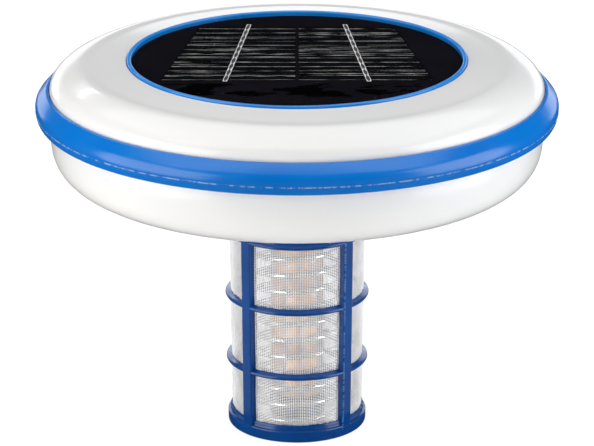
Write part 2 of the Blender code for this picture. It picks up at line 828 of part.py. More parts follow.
# ---------------------------------------------------------------- wiring inside the float
def make_leads():
    positive = (
        (0.0, 12.9, 123.1),
        (0.0, 16.5, 124.4),
        (2.0, 19.0, 134.0),
        (6.0, 20.0, 150.0),
        (9.0, 15.0, 166.0),
        (8.0, 6.0, 178.0),
        (6.0, 3.0, 183.9),
    )
    negative = (
        (8.5, -0.4, 122.0),
        (7.6, -4.5, 123.6),
        (8.0, -12.0, 138.0),
        (2.0, -19.0, 152.0),
        (-7.0, -14.0, 168.0),
        (-8.0, -5.0, 179.0),
        (-6.0, -3.0, 183.9),
    )
    for name, route, finish in (
        ("positive_lead", positive, RED),
        ("negative_lead", negative, DARK),
    ):
        points = [p * MM for p in smooth_route(route, 24)]
        wire(name, points, 0.9 * MM, finish)


# ---------------------------------------------------------------- the whole object
def main():
    make_upper_shell()
    make_lower_shell()
    make_seam_gasket()
    make_bumper_ring()
    make_panel()
    make_hub()
    make_cathode_contact()
    make_stud()
    make_anode()
    make_coil()
    make_basket_frame()
    make_basket_mesh()
    make_wing_nut()
    make_leads()


main()
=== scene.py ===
"""Looks of the floating solar pool ioniser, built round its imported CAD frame.

Lengths in this script are in millimetres and are scaled to metres where a mesh is made.
"""

import json
import math

import bmesh
import bpy
import numpy as np
from mathutils import Matrix, Vector

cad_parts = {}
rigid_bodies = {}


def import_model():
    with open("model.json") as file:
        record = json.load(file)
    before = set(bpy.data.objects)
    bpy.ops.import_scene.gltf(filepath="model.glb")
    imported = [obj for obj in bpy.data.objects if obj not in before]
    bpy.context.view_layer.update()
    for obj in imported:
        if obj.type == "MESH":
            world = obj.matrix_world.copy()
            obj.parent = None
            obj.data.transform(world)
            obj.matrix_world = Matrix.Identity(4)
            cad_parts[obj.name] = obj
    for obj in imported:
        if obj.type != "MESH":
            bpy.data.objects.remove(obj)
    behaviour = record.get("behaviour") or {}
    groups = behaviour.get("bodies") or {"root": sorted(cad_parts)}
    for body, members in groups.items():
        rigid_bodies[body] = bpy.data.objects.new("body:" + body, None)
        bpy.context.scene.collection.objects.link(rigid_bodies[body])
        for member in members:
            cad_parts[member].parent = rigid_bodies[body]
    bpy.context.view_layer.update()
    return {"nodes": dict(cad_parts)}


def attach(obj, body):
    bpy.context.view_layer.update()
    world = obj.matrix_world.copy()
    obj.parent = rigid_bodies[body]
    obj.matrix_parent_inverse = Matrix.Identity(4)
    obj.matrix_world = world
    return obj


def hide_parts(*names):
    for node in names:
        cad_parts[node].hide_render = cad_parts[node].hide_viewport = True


MM = 0.001

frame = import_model()


# ---------------------------------------------------------------- materials
class Finish:
    """A Principled material whose detail comes from a few procedural nodes."""

    def __init__(self, name, **sockets):
        self.material = bpy.data.materials.new(name)
        self.material.use_nodes = True
        self.tree = self.material.node_tree
        self.shader = self.tree.nodes["Principled BSDF"]
        self.normal = None
        for key, value in sockets.items():
            self.shader.inputs[key.replace("_", " ")].default_value = value
        self.place = self.node("ShaderNodeTexCoord").outputs["Object"]

    def node(self, kind, **inputs):
        made = self.tree.nodes.new(kind)
        for key, value in inputs.items():
            self.put(made.inputs[key], value)
        return made

    def put(self, socket, value):
        if isinstance(value, bpy.types.NodeSocket):
            self.tree.links.new(value, socket)
        else:
            socket.default_value = value

    def math(self, kind, a, b=0.0, clamp=False):
        made = self.tree.nodes.new("ShaderNodeMath")
        made.operation = kind
        made.use_clamp = clamp
        self.put(made.inputs[0], a)
        self.put(made.inputs[1], b)
        return made.outputs[0]

    def axis(self, index):
        split = self.tree.nodes.new("ShaderNodeSeparateXYZ")
        self.put(split.inputs[0], self.place)
        return split.outputs[index]

    def noise(self, size, detail=4.0, stretch=(1, 1, 1), roughness=0.55, offset=0.0):
        """Noise whose lumps are about size mm wide, stretched along an axis."""
        mapping = self.tree.nodes.new("ShaderNodeMapping")
        self.put(mapping.inputs["Vector"], self.place)
        mapping.inputs["Location"].default_value = (offset, offset * 0.7, offset * 1.3)
        mapping.inputs["Scale"].default_value = [1.0 / (size * MM * s) for s in stretch]
        made = self.node("ShaderNodeTexNoise", Scale=1.0, Detail=detail, Roughness=roughness)
        self.put(made.inputs["Vector"], mapping.outputs[0])
        return made.outputs["Fac"]

    def ramp(self, value, low, high, out_low=0.0, out_high=1.0):
        made = self.tree.nodes.new("ShaderNodeMapRange")
        made.interpolation_type = "SMOOTHSTEP"
        for key, number in zip(
            ("Value", "From Min", "From Max", "To Min", "To Max"),
            (value, low, high, out_low, out_high),
        ):
            self.put(made.inputs[key], number)
        return made.outputs[0]

    def mix(self, factor, a, b):
        made = self.tree.nodes.new("ShaderNodeMix")
        made.data_type = "RGBA"
        self.put(made.inputs["Factor"], factor)
        for key, colour in (("A", a), ("B", b)):
            socket = [s for s in made.inputs if s.name == key and s.type == "RGBA"][0]
            if isinstance(colour, bpy.types.NodeSocket):
                self.put(socket, colour)
            else:
                socket.default_value = (*colour, 1.0)
        return [s for s in made.outputs if s.type == "RGBA"][0]

    def colour(self, value):
        self.put(self.shader.inputs["Base Color"], value)

    def rough(self, value):
        self.put(self.shader.inputs["Roughness"], value)

    def bump(self, height, distance, strength=1.0):
        """Adds a bump of distance mm to the ones before it."""
        made = self.tree.nodes.new("ShaderNodeBump")
        made.inputs["Distance"].default_value = distance * MM
        made.inputs["Strength"].default_value = strength
        self.put(made.inputs["Height"], height)
        if self.normal:
            self.put(made.inputs["Normal"], self.normal)
        self.normal = made.outputs[0]
        self.put(self.shader.inputs["Normal"], self.normal)


def moulded(name, base, shade, rough, size=22.0, grain=0.8, grain_depth=0.0012, **sockets):
    """Moulded plastic: a faint drift of colour, uneven gloss, fine grain and shallow waviness."""
    f = Finish(name, **sockets)
    f.colour(f.mix(f.ramp(f.noise(size, 2.0), 0.35, 0.68), base, shade))
    f.rough(f.ramp(f.noise(size * 0.5, 2.0, offset=1.7), 0.3, 0.75, rough * 0.85, rough * 1.2))
    f.bump(f.noise(grain, 2.0), grain_depth)
    f.bump(f.noise(size * 0.35, 1.0, offset=5.0), 0.012)
    return f


def metal(name, base, shade, rough, stretch=(1, 1, 1), size=1.2, depth=0.004, metallic=1.0, **sockets):
    """Drawn or rolled metal: fine lines along one axis, stains and uneven polish."""
    f = Finish(name, Metallic=metallic, **sockets)
    stain = f.ramp(f.noise(9.0, 5.0, offset=2.2), 0.42, 0.72)
    lines = f.noise(size, 4.0, stretch)
    f.colour(f.mix(stain, base, shade))
    f.rough(f.ramp(lines, 0.3, 0.7, rough * 0.75, rough * 1.35))
    f.bump(lines, depth)
    return f


RIDGE = 174.0  # height of the line where the bumper's mould closed


def white_shell():
    f = Finish("white_shell", Coat_Weight=0.35, Coat_Roughness=0.07, Specular_IOR_Level=0.45)
    drift = f.ramp(f.noise(70.0, 2.0), 0.35, 0.68)
    f.colour(f.mix(drift, (0.890, 0.886, 0.872), (0.876, 0.874, 0.868)))
    f.rough(f.ramp(f.noise(60.0, 1.0, offset=8.0), 0.3, 0.75, 0.20, 0.255))
    f.bump(f.noise(45.0, 0.0, offset=6.0), 0.015)
    return f.material


def bumper_blue():
    """Soft PVC band, with a pale broken line where its mould closed and scuffs round it."""
    f = Finish("bumper_blue", Specular_IOR_Level=0.5)
    drift = f.ramp(f.noise(40.0, 2.0), 0.35, 0.70)
    base = f.mix(drift, (0.0012, 0.158, 0.560), (0.001, 0.146, 0.530))
    height = f.axis(2)
    near = f.math("ABSOLUTE", f.math("SUBTRACT", height, RIDGE * MM))
    line = f.ramp(near, 0.55 * MM, 0.15 * MM)
    broken = f.ramp(f.noise(3.2, 5.0, (1, 1, 2), 0.65, 2.0), 0.44, 0.56)
    pale_mark = f.ramp(f.noise(1.6, 4.0, (3, 3, 0.6), 0.6, 9.0), 0.66, 0.74)
    band = f.ramp(near, 3.4 * MM, 0.6 * MM)
    marks = f.math(
        "ADD",
        f.math("MULTIPLY", f.math("MULTIPLY", line, broken), 0.55),
        f.math("MULTIPLY", f.math("MULTIPLY", band, pale_mark), 0.22),
        True,
    )
    f.colour(f.mix(marks, base, (0.42, 0.52, 0.72)))
    f.rough(f.ramp(f.noise(20.0, 2.0, offset=1.0), 0.3, 0.75, 0.17, 0.24))
    f.bump(f.noise(9.0, 1.0, offset=5.0), 0.012)
    return f.material


def board_black():
    """Black resin under the cells, with painted shade: blacker patches on it in front of them."""
    f = Finish("board_black", Specular_IOR_Level=0.0)
    drift = f.ramp(f.noise(60.0, 2.0), 0.4, 0.7)
    base = f.mix(drift, (0.0078, 0.0072, 0.0104), (0.0064, 0.0060, 0.0088))
    # Painted shade: patches in front of the cells are coloured blacker than the resin.
    front = f.ramp(f.axis(1), -39.0 * MM, -42.0 * MM)
    back = f.ramp(f.axis(1), -66.0 * MM, -61.0 * MM)
    runs = f.ramp(f.noise(8.0, 3.0, (2.2, 1.0, 1.0), 0.55, 3.0), 0.50, 0.52)
    painted_shade_patches = f.math("MULTIPLY", f.math("MULTIPLY", front, back), runs)
    f.colour(f.mix(painted_shade_patches, base, (0.0002, 0.0002, 0.0003)))
    f.rough(f.ramp(f.noise(25.0, 2.0), 0.3, 0.7, 0.40, 0.55))
    f.bump(f.noise(40.0, 0.0), 0.02)
    return f.material


def silicon():
    f = Finish("silicon", Specular_IOR_Level=0.0)
    grain = f.ramp(f.noise(6.0, 2.0, (1.6, 0.5, 1)), 0.4, 0.6)
    f.colour(f.mix(grain, (0.0026, 0.0027, 0.0036), (0.0044, 0.0046, 0.0062)))
    f.rough(f.ramp(f.noise(6.0, 2.0), 0.3, 0.7, 0.40, 0.55))
    f.bump(f.noise(1.5, 2.0, (4, 1, 1)), 0.004)
    return f.material


def finger_print():
    """Fired silver paste of the cells' fine lines: dull grey, brighter and darker along each line, partly
    from uneven print and partly from painted reflection.
    """
    f = Finish("silver_print", Metallic=0.1, Specular_IOR_Level=0.3)
    # Partly painted reflection: streaks of lighter and darker grey along the lines.
    print_and_reflection = f.ramp(f.noise(5.0, 4.0, (1.4, 0.5, 1), 0.6), 0.35, 0.65)
    f.colour(f.mix(print_and_reflection, (0.22, 0.22, 0.21), (0.52, 0.52, 0.50)))
    f.rough(f.ramp(f.noise(2.0, 2.0), 0.3, 0.7, 0.4, 0.6))
    return f.material


def clear_cover():
    """Cast clear resin: mostly see-through, with a faint haze and hairline rubs in its gloss."""
    f = Finish("clear_cover", Alpha=0.05, Specular_IOR_Level=0.5)
    f.colour(f.mix(f.noise(25.0, 2.0), (0.004, 0.004, 0.006), (0.008, 0.008, 0.011)))
    f.rough(f.ramp(f.noise(20.0, 3.0, (1, 1, 1), 0.6), 0.35, 0.75, 0.05, 0.10))
    f.bump(f.noise(30.0, 1.0), 0.03)
    return f.material


def tinned():
    f = Finish("tinned_ribbon", Metallic=0.15, Specular_IOR_Level=0.5)
    f.colour(f.mix(f.ramp(f.noise(2.5, 3.0), 0.4, 0.65), (0.95, 0.95, 0.95), (0.75, 0.75, 0.76)))
    f.rough(f.ramp(f.noise(1.5, 3.0), 0.3, 0.7, 0.22, 0.40))
    f.bump(f.noise(1.2, 2.0), 0.01)
    return f.material


def copper():
    """Bare copper with a light brown bloom and fine lathe lines."""
    f = Finish("copper", Metallic=1.0)
    bloom = f.ramp(f.noise(8.0, 5.0, (1, 1, 1.6), 0.6), 0.42, 0.70)
    base = f.mix(bloom, (0.80, 0.50, 0.30), (0.70, 0.41, 0.23))
    spots = f.ramp(f.noise(1.6, 3.0, offset=7.0), 0.68, 0.78)
    f.colour(f.mix(f.math("MULTIPLY", spots, 0.3), base, (0.45, 0.26, 0.18)))
    f.rough(f.ramp(f.noise(3.0, 5.0, (2, 2, 0.3)), 0.3, 0.72, 0.29, 0.42))
    f.bump(f.noise(0.8, 3.0, (6, 6, 0.35)), 0.006)
    return f.material


WHITE = white_shell()
BUMPER = bumper_blue()
BEZEL = moulded(
    "bezel_blue", (0.012, 0.235, 0.70), (0.008, 0.210, 0.65), 0.20, 30.0
).material
BASKET = moulded(
    "basket_blue", (0.001, 0.060, 0.270), (0.0008, 0.052, 0.235), 0.16, 16.0
).material
# Painted highlight: a paler blue for the faces along one rib's flash edge.
PAINTED_EDGE_GLINT = moulded(
    "basket_painted_edge_glint", (0.10, 0.26, 0.56), (0.04, 0.15, 0.40), 0.22, 3.0
).material
BOARD = board_black()
CELL = silicon()
CLEAR = clear_cover()
TIN = tinned()
HUB = moulded("hub_plastic", (0.80, 0.80, 0.77), (0.74, 0.74, 0.70), 0.34, 12.0).material
RUBBER = moulded("seal_rubber", (0.024, 0.024, 0.025), (0.040, 0.040, 0.040), 0.62, 5.0, 0.4, 0.004).material
STEEL = metal("stainless", (0.74, 0.74, 0.73), (0.60, 0.60, 0.58), 0.24, (1, 1, 0.4)).material
WIRE = metal(
    "drawn_wire", (0.82, 0.79, 0.76), (0.70, 0.67, 0.64), 0.15, (3, 3, 0.4), 0.8, 0.002, 0.7
).material
WOVEN = metal(
    "woven_steel", (0.90, 0.90, 0.91), (0.78, 0.78, 0.79), 0.385, (1, 1, 1), 1.5, 0.001, 1.0
).material
PRINT = finger_print()
COPPER = copper()
RED = moulded("lead_red", (0.50, 0.015, 0.012), (0.38, 0.010, 0.010), 0.42, 4.0).material
BLACK = moulded("lead_black", (0.018, 0.018, 0.018), (0.030, 0.030, 0.030), 0.48, 4.0).material
DARK_PAD = moulded(
    "ribbon_flux", (0.012, 0.012, 0.015), (0.026, 0.026, 0.030), 0.35, 2.0, Specular_IOR_Level=0.05
).material


# ---------------------------------------------------------------- mesh helpers
def add(name, verts, faces, finish, smooth=35.0):
    """A new mesh object from points in mm."""
    mesh = bpy.data.meshes.new(name)
    if isinstance(faces, np.ndarray):
        faces = faces.tolist()
    mesh.from_pydata((np.asarray(verts, float) * MM).tolist(), [], faces)
    mesh.update()
    return finished(bpy.data.objects.new(name, mesh), finish, smooth)


def finished(obj, finish, smooth=35.0):
    if obj.name not in bpy.context.scene.collection.objects:
        bpy.context.scene.collection.objects.link(obj)
    obj.data.materials.clear()
    obj.data.materials.append(finish)
    obj.data.shade_smooth()
    if smooth < 180.0:
        obj.data.set_sharp_from_angle(angle=math.radians(smooth))
    return obj


def goes(obj, body, slot, *nodes):
    """Rides on a body and stands for some CAD nodes, which it hides. Slot is not used."""
    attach(obj, body)
    if nodes:
        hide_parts(*nodes)
    return obj


def rounded(outline, steps=5):
    """A closed outline with its corners rounded where a point has a third number, the cut's length."""
    points = []
    count = len(outline)
    for i, point in enumerate(outline):
        here = np.array(point[:2], float)
        if len(point) < 3:
            points.append(here)
            continue
        before = np.array(outline[i - 1][:2], float) - here
        after = np.array(outline[(i + 1) % count][:2], float) - here
        a = here + before * min(point[2] / np.linalg.norm(before), 0.49)
        b = here + after * min(point[2] / np.linalg.norm(after), 0.49)
        for k in range(steps + 1):
            s = k / steps
            points.append((1 - s) ** 2 * a + 2 * s * (1 - s) * here + s * s * b)
    return np.array(points)


def lathe(name, outline, finish, sides=160, shape=None, at=(0.0, 0.0), smooth=35.0, steps=5):
    """A closed (radius, height) outline turned about Z. shape(angle, radius, height) may move points."""
    section = rounded(outline, steps)
    r, z = section[:, 0], section[:, 1]
    area = np.sum(r * np.roll(z, -1) - np.roll(r, -1) * z)
    if area < 0:
        r, z = r[::-1], z[::-1]
    count = len(r)
    angle = np.arange(sides) * 2 * math.pi / sides
    theta, rr = np.meshgrid(angle, r, indexing="ij")
    zz = np.broadcast_to(z, rr.shape).copy()
    if shape:
        rr, zz = shape(theta, rr, zz)
    verts = np.stack([rr * np.cos(theta) + at[0], rr * np.sin(theta) + at[1], zz], -1)
    i, j = np.meshgrid(np.arange(sides), np.arange(count), indexing="ij")
    i2, j2 = (i + 1) % sides, (j + 1) % count
    faces = np.stack([i * count + j, i2 * count + j, i2 * count + j2, i * count + j2], -1)
    obj = add(name, verts.reshape(-1, 3), faces.reshape(-1, 4), finish, smooth)
    if r.min() < 1e-6:
        weld(obj)
        finished(obj, finish, smooth)
    return obj


def weld(obj, distance=0.002):
    """Joins points closer than distance and turns the faces outwards. Distance 0 only turns them."""
    work = bmesh.new()
    work.from_mesh(obj.data)
    if distance:
        bmesh.ops.remove_doubles(work, verts=work.verts, dist=distance * MM)
        bmesh.ops.dissolve_degenerate(work, edges=work.edges, dist=distance * MM)
    bmesh.ops.recalc_face_normals(work, faces=work.faces)
    work.to_mesh(obj.data)
    work.free()


def capped(rings, sides):
    """Faces round a stack of rings of points, and one on each end."""
    i, j = np.meshgrid(np.arange(rings - 1), np.arange(sides), indexing="ij")
    j2 = (j + 1) % sides
    faces = np.stack([i * sides + j, i * sides + j2, (i + 1) * sides + j2, (i + 1) * sides + j], -1)
    faces = faces.reshape(-1, 4).tolist()
    faces.append(list(range(sides))[::-1])
    faces.append([(rings - 1) * sides + k for k in range(sides)])
    return faces


def tube(name, points, radius, finish, sides=16):
    """A round wire along points, with rounded ends."""
    path = np.asarray(points, float)
    along = np.gradient(path, axis=0)
    along /= np.linalg.norm(along, axis=1)[:, None]
    side = np.cross(along[0], (0.0, 0.0, 1.0) if abs(along[0][2]) < 0.9 else (1.0, 0.0, 0.0))
    rings = []
    angle = np.arange(sides) * 2 * math.pi / sides
    for k in range(len(path)):
        side = side - along[k] * np.dot(side, along[k])
        side /= np.linalg.norm(side)
        up = np.cross(along[k], side)
        ring = path[k] + radius * (
            np.cos(angle)[:, None] * side + np.sin(angle)[:, None] * up
        )
        rings.append(ring)
    caps = []
    for end, ring, way in ((0, rings[0], -1), (-1, rings[-1], 1)):
        middle = path[end]
        grow = [
            middle + (ring - middle) * math.cos(a) + way * along[end] * radius * 0.35 * math.sin(a)
            for a in (0.6, 1.2)
        ]
        caps.append(grow)
    rings = caps[0][::-1] + rings + caps[1]
    return add(name, np.concatenate(rings), capped(len(rings), sides), finish, 60.0)


def prism(name, outline, low, high, finish, edge=0.0, segments=3, upright=False):
    """A flat outline extruded from low to high, along Z or, upright, along Y, with bevelled edges."""
    mesh = bpy.data.meshes.new(name)
    work = bmesh.new()
    face = work.faces.new([work.verts.new((x * MM, y * MM, low * MM)) for x, y in outline])
    moved = bmesh.ops.extrude_face_region(work, geom=[face])
    top = [v for v in moved["geom"] if isinstance(v, bmesh.types.BMVert)]
    bmesh.ops.translate(work, verts=top, vec=(0, 0, (high - low) * MM))
    if upright:
        bmesh.ops.rotate(work, verts=work.verts, matrix=Matrix.Rotation(math.pi / 2, 3, "X"))
    bmesh.ops.recalc_face_normals(work, faces=work.faces)
    if edge:
        sharp = [e for e in work.edges if e.calc_face_angle(0.0) > 0.6]
        bmesh.ops.bevel(
            work, geom=sharp, offset=edge * MM, segments=segments, profile=0.5, affect="EDGES"
        )
    work.to_mesh(mesh)
    work.free()
    return finished(bpy.data.objects.new(name, mesh), finish)


def applied(obj, finish, smooth=35.0):
    """The object with its modifiers baked into its mesh."""
    bpy.context.view_layer.update()
    graph = bpy.context.evaluated_depsgraph_get()
    mesh = bpy.data.meshes.new_from_object(obj.evaluated_get(graph))
    obj.modifiers.clear()
    obj.data = mesh
    return finished(obj, finish, smooth)


def boolean(obj, others, operation, finish, smooth=35.0):
    for other in others:
        change = obj.modifiers.new("change", "BOOLEAN")
        change.operation = operation
        change.solver = "EXACT"
        change.object = other
    applied(obj, finish, smooth)
    for other in others:
        bpy.data.objects.remove(other)
    return obj


def shoulder(r_flat, z_flat, r_side, z_side, power, count):
    """Points of a superellipse quarter from a side wall to a flat face."""
    points = []
    for i in range(count + 1):
        u = math.sin(math.pi / 2 * i / count)
        share = (1 - u**power) ** (1 / power)
        points.append((r_flat + (r_side - r_flat) * share, z_side + (z_flat - z_side) * u))
    return points


def smooth_wave(theta, seed, count, size):
    """A smooth closed random wave round a ring."""
    draw = np.random.default_rng(seed)
    out = np.zeros_like(theta)
    for k in range(1, count + 1):
        a, b = draw.normal(size=2)
        out += (a * np.cos(k * theta) + b * np.sin(k * theta)) / math.sqrt(count)
    return out * size


# ---------------------------------------------------------------- float
SEAM = 178.2  # height of the joint between the float's halves
GASKET_HALF, SEAM_GAP = 0.45, 0.3


def flange(way):
    """Edge of a half shell at the seam. Way is 1 for the upper half and -1 for the lower."""
    edge = SEAM + way * GASKET_HALF + way * SEAM_GAP
    back = edge + way * 2.0
    return [(125.0, edge), (131.0, edge, 0.3), (131.0, back, 0.3), (127.5, back, 0.4)]


def make_shells():
    outside = [
        (127.5, 186.0, 3.0), (126.2, 189.0, 4.0), (122.6, 192.7, 5.0), (117.5, 195.6, 6.0),
        (111.2, 197.75, 6.0), (105.8, 197.65, 2.5), (101.0, 198.05, 4.0), (88.4, 199.15, 0.3),
    ]
    inside = [(90.2, 196.5, 0.3)] + shoulder(104.0, 195.3, 125.0, 183.0, 2.3, 18)[::-1]
    upper = flange(1) + outside
    upper += [
        (88.0, 199.1, 0.15), (88.0, 197.0, 0.1), (86.5, 197.0, 0.1), (86.5, 190.7, 0.3),
        (76.0, 190.7, 0.5), (76.0, 188.2, 0.5), (89.2, 188.2, 0.8),
    ]
    upper += inside
    goes(lathe("upper_shell_moulding", upper, WHITE, 256), "root", "white_shell", "upper_shell")

    outside = shoulder(50.0, 133.2, 127.5, 170.0, 4.0, 56)
    inside = shoulder(50.0, 135.7, 125.0, 170.0, 4.0, 24)
    lower = flange(-1) + outside
    lower += [(31.4, 133.2, 0.6), (30.5, 134.0, 0.3), (30.5, 135.7, 0.4)]
    lower += inside[::-1]
    goes(lathe("lower_shell_moulding", lower, WHITE, 256), "root", "white_shell", "lower_shell")


def make_bumper():
    """Band with a thin broken ridge of flash where its mould closed."""
    outline = [
        (128.0, 184.6, 0.3), (129.3, 184.6, 0.6), (133.75, 179.7, 1.2), (134.75, 177.9, 0.9),
        (135.0, 176.2, 0.7), (134.95, 175.0, 0.3),
        (134.85, RIDGE + 0.28), (134.83, RIDGE + 0.10), (134.81, RIDGE - 0.10), (134.79, RIDGE - 0.28),
        (134.60, 171.9, 0.8), (133.60, 169.8, 1.0), (131.0, 168.9, 0.8), (128.0, 168.9, 0.3),
        (128.0, 175.15), (131.3, 175.15), (131.3, 181.25), (128.0, 181.25),
    ]

    def flash(theta, r, z):
        tooth = np.clip(smooth_wave(theta, 3, 90, 1.0) + 0.5, 0.0, 1.6)
        on = (np.abs(z - RIDGE) < 0.15) & (r > 134.0)
        r = r + on * (0.10 + 0.10 * tooth)
        z = z + ((np.abs(z - RIDGE) < 0.4) & (r > 134.0)) * smooth_wave(theta, 4, 24, 0.05)
        soft = smooth_wave(theta, 5, 7, 0.05)
        return r + soft * (r > 132.0), z

    goes(lathe("bumper_band", outline, BUMPER, 360, flash), "root", "bumper_blue", "bumper_ring")


# ---------------------------------------------------------------- panel
def make_bezel():
    outline = [
        (85.3, 192.9, 0.2), (86.2, 192.9, 0.2), (86.2, 197.3), (87.6, 197.3, 0.2),
        (87.6, 199.9, 0.5), (87.1, 200.3, 0.4), (85.9, 200.3, 0.4), (85.3, 199.8, 0.4),
    ]

    def wander(theta, r, z):
        return r, z + (z > 199.4) * smooth_wave(theta, 6, 9, 0.03)

    goes(lathe("panel_bezel_ring", outline, BEZEL, 256, wander), "root", "bezel_blue", "panel_bezel")


CELL_FRONT, CELL_BACK = -35.5, 63.5
CELL_HALF_FRONT, CELL_HALF_BACK = 69.5, 52.0
CELL_TOP = 198.0
FINGER_GAP = 1.55  # between the cells' printed lines


def make_panel():
    board = lathe(
        "panel_board_disc",
        [(0.0, 192.6), (85.0, 192.6, 0.3), (85.0, 197.9, 0.3), (0.0, 197.9)],
        BOARD,
        128,
    )
    goes(board, "root", "board_black", "panel_board")
    make_cover()
    for side, word in ((-1, "left"), (1, "right")):
        outline = [
            (side * 0.6, CELL_FRONT), (side * CELL_HALF_FRONT, CELL_FRONT),
            (side * CELL_HALF_BACK, CELL_BACK), (side * 0.6, CELL_BACK),
        ]
        cell = prism(f"solar_cell_{word}_wafer", outline, CELL_TOP - 0.3, CELL_TOP, CELL, 0.06, 1)
        goes(cell, "root", "silicon", f"solar_cell_{word}")
        goes(make_fingers(side, word), "root", "tinned_ribbon")
        goes(make_ribbon(side, word), "root", "tinned_ribbon", f"cell_ribbon_{word}")


def make_cover():
    cover = lathe(
        "panel_cover_resin",
        [
            (0.0, 198.7), (85.0, 198.7, 0.1), (85.0, 199.2), (84.4, 199.36, 0.3), (80.0, 199.4),
            (0.0, 199.4),
        ],
        CLEAR,
        160,
    )
    goes(cover, "root", "clear_cover", "panel_cover")


def cell_edge(y):
    """Half-width of the two cells together at a place from front to back."""
    share = (y - CELL_FRONT) / (CELL_BACK - CELL_FRONT)
    return CELL_HALF_FRONT + (CELL_HALF_BACK - CELL_HALF_FRONT) * share


def make_fingers(side, word):
    """Thin printed lines across a cell. They wander a little and swell and fade along their length."""
    draw = np.random.default_rng(40 + side)
    # Where the lines thicken together: place across and along, reach both ways, and lean.
    spreads = ((4, 62), (CELL_FRONT, CELL_BACK), (9, 20), (1.2, 3.0), (-0.12, 0.12))
    patches = [[draw.uniform(*spread) for spread in spreads] for _ in range(6)]
    verts, faces = [], []
    y = CELL_FRONT + 1.0
    row = 0
    while y < CELL_BACK - 0.6:
        reach = cell_edge(y) - 0.9
        n = 96
        x = np.linspace(0.9, reach, n)
        waves = [draw.normal(size=2) * 0.12 / k for k in (1, 2, 3)]
        yy = y + sum(
            a * np.cos(k * x / 17.0) + b * np.sin(k * x / 17.0) for k, (a, b) in enumerate(waves, 1)
        )
        feather = sum(
            np.exp(-(((x - px) / lx) ** 2) - ((y - py - lean * (x - px)) / ly) ** 2)
            for px, py, lx, ly, lean in patches
        )
        swell = sum(draw.normal() * np.cos(x / s + draw.random() * 6.3) for s in (2.5, 6.0, 14.0))
        grain = draw.normal(size=n) * 0.25
        strong = draw.uniform(0.35, 1.0) if row % 5 == 0 or draw.random() > 0.90 else 0.0
        half = 0.002 + strong * np.clip(0.22 + 0.12 * swell, 0.0, 0.44)
        half = half + np.clip(0.22 * (feather - 0.20) * (1.0 + 0.8 * grain + 0.3 * swell), 0.0, 0.24)
        half = np.clip(half * (1.0 + 0.6 * grain), 0.002, 0.56)
        base = len(verts)
        for k in range(n):
            for dy, dz in ((-1, 0.0), (-0.6, 0.08), (0.6, 0.08), (1, 0.0)):
                verts.append((side * x[k], yy[k] + dy * half[k], CELL_TOP + 0.01 + dz * half[k]))
        for k in range(n - 1):
            for j in range(4):
                a, b = base + 4 * k + j, base + 4 * k + (j + 1) % 4
                faces.append((a, b, b + 4, a + 4))
        faces.append(tuple(base + j for j in (3, 2, 1, 0)))
        faces.append(tuple(base + 4 * (n - 1) + j for j in range(4)))
        y += FINGER_GAP + draw.normal() * 0.06
        row += 1
    obj = add(f"cell_fingers_{word}", verts, faces, PRINT, 60.0)
    weld(obj, 0.0005)
    return finished(obj, PRINT, 60.0)


def make_ribbon(side, word):
    """Tinned ribbon with a chain of long sunk ovals down its middle."""
    front, back = Vector((36.4, -38.3)), Vector((25.5, 65.8))
    links, per_link, across = 10, 12, 8
    n = links * per_link
    verts, faces, dark = [], [], []
    half = 1.1
    for k in range(n + 1):
        t = k / n
        mid = front.lerp(back, t)
        u = (k % per_link) / per_link
        oval = math.sin(math.pi * u) ** 0.5 if 0 < u < 1 else 0.0
        swell = 1.0 + 0.10 * oval
        for j in range(across + 1):
            s = -1 + 2 * j / across
            sunk = 0.10 * max(0.0, oval - abs(s) * 1.15)
            height = CELL_TOP + 0.45 + 0.06 * (1 - s * s) - sunk
            verts.append((side * (mid.x + s * half * swell), mid.y, height))
    top = len(verts)
    for x, y, z in list(verts):
        verts.append((x, y, CELL_TOP + 0.3))
    row = across + 1
    for k in range(n):
        u = ((k % per_link) + 0.5) / per_link
        wide = math.sin(math.pi * u) ** 0.5 * 0.92
        for j in range(across):
            a = k * row + j
            faces.append((a, a + 1, a + row + 1, a + row))
            dark.append(abs(-1 + 2 * (j + 0.5) / across) < wide - 0.12)
            faces.append((top + a, top + a + row, top + a + row + 1, top + a + 1))
            dark.append(False)
        for j in (0, across):
            a = k * row + j
            faces.append((a, a + row, top + a + row, top + a))
            dark.append(False)
    for k in (0, n):
        for j in range(across):
            a = k * row + j
            faces.append((a, a + 1, top + a + 1, top + a))
            dark.append(False)
    obj = add(f"cell_ribbon_{word}_strip", verts, faces, TIN, 40.0)
    obj.data.materials.append(DARK_PAD)
    for face, is_dark in zip(obj.data.polygons, dark):
        face.material_index = int(is_dark)
    weld(obj, 0)
    return obj


# ---------------------------------------------------------------- basket
PITCH = 0.875  # between the sleeve's rings of wire
WARP = 182  # upright wires of the sleeve


def basket_radius(z):
    return 36.4 + 0.0125 * z


def mesh_radius(z):
    return basket_radius(z) - 2.45


def tooth(t):
    """A triangle wave from 0 to 1 with a period of 1."""
    return 1.0 - np.abs(((t % 1.0) * 2.0) - 1.0)


def make_ring(name, outline, edge_low=None, edge_high=None):
    """A hoop of the cage. Its edges on the mesh creep up and down between the wires."""

    def creep(theta, r, z):
        uneven = 0.6 + 0.4 * np.clip(smooth_wave(theta, 8, 60, 1.0), -1, 1)
        t = tooth(theta * WARP / (2 * math.pi)) * uneven
        if edge_high is not None:
            z = z + (np.abs(z - edge_high) < 0.05) * (r < mesh_radius(60) + 1.2) * t * 0.70
        if edge_low is not None:
            z = z - (np.abs(z - edge_low) < 0.02) * (r < mesh_radius(60) + 0.8) * t * 0.55
        return r, z

    return lathe(name, outline, BASKET, WARP * 2, creep, smooth=38.0, steps=4)


def hoop_face(foot):
    """The outer side of a hoop, from its foot on the mesh to its upper outer edge."""
    out = basket_radius(foot) + 0.4
    return [
        (mesh_radius(foot) + 0.15, foot), (out - 0.35, foot, 0.35), (out, foot + 0.5, 0.4),
        (out - 0.05, foot + 1.3, 0.4), (out - 0.45, foot + 1.85, 0.4),
    ]


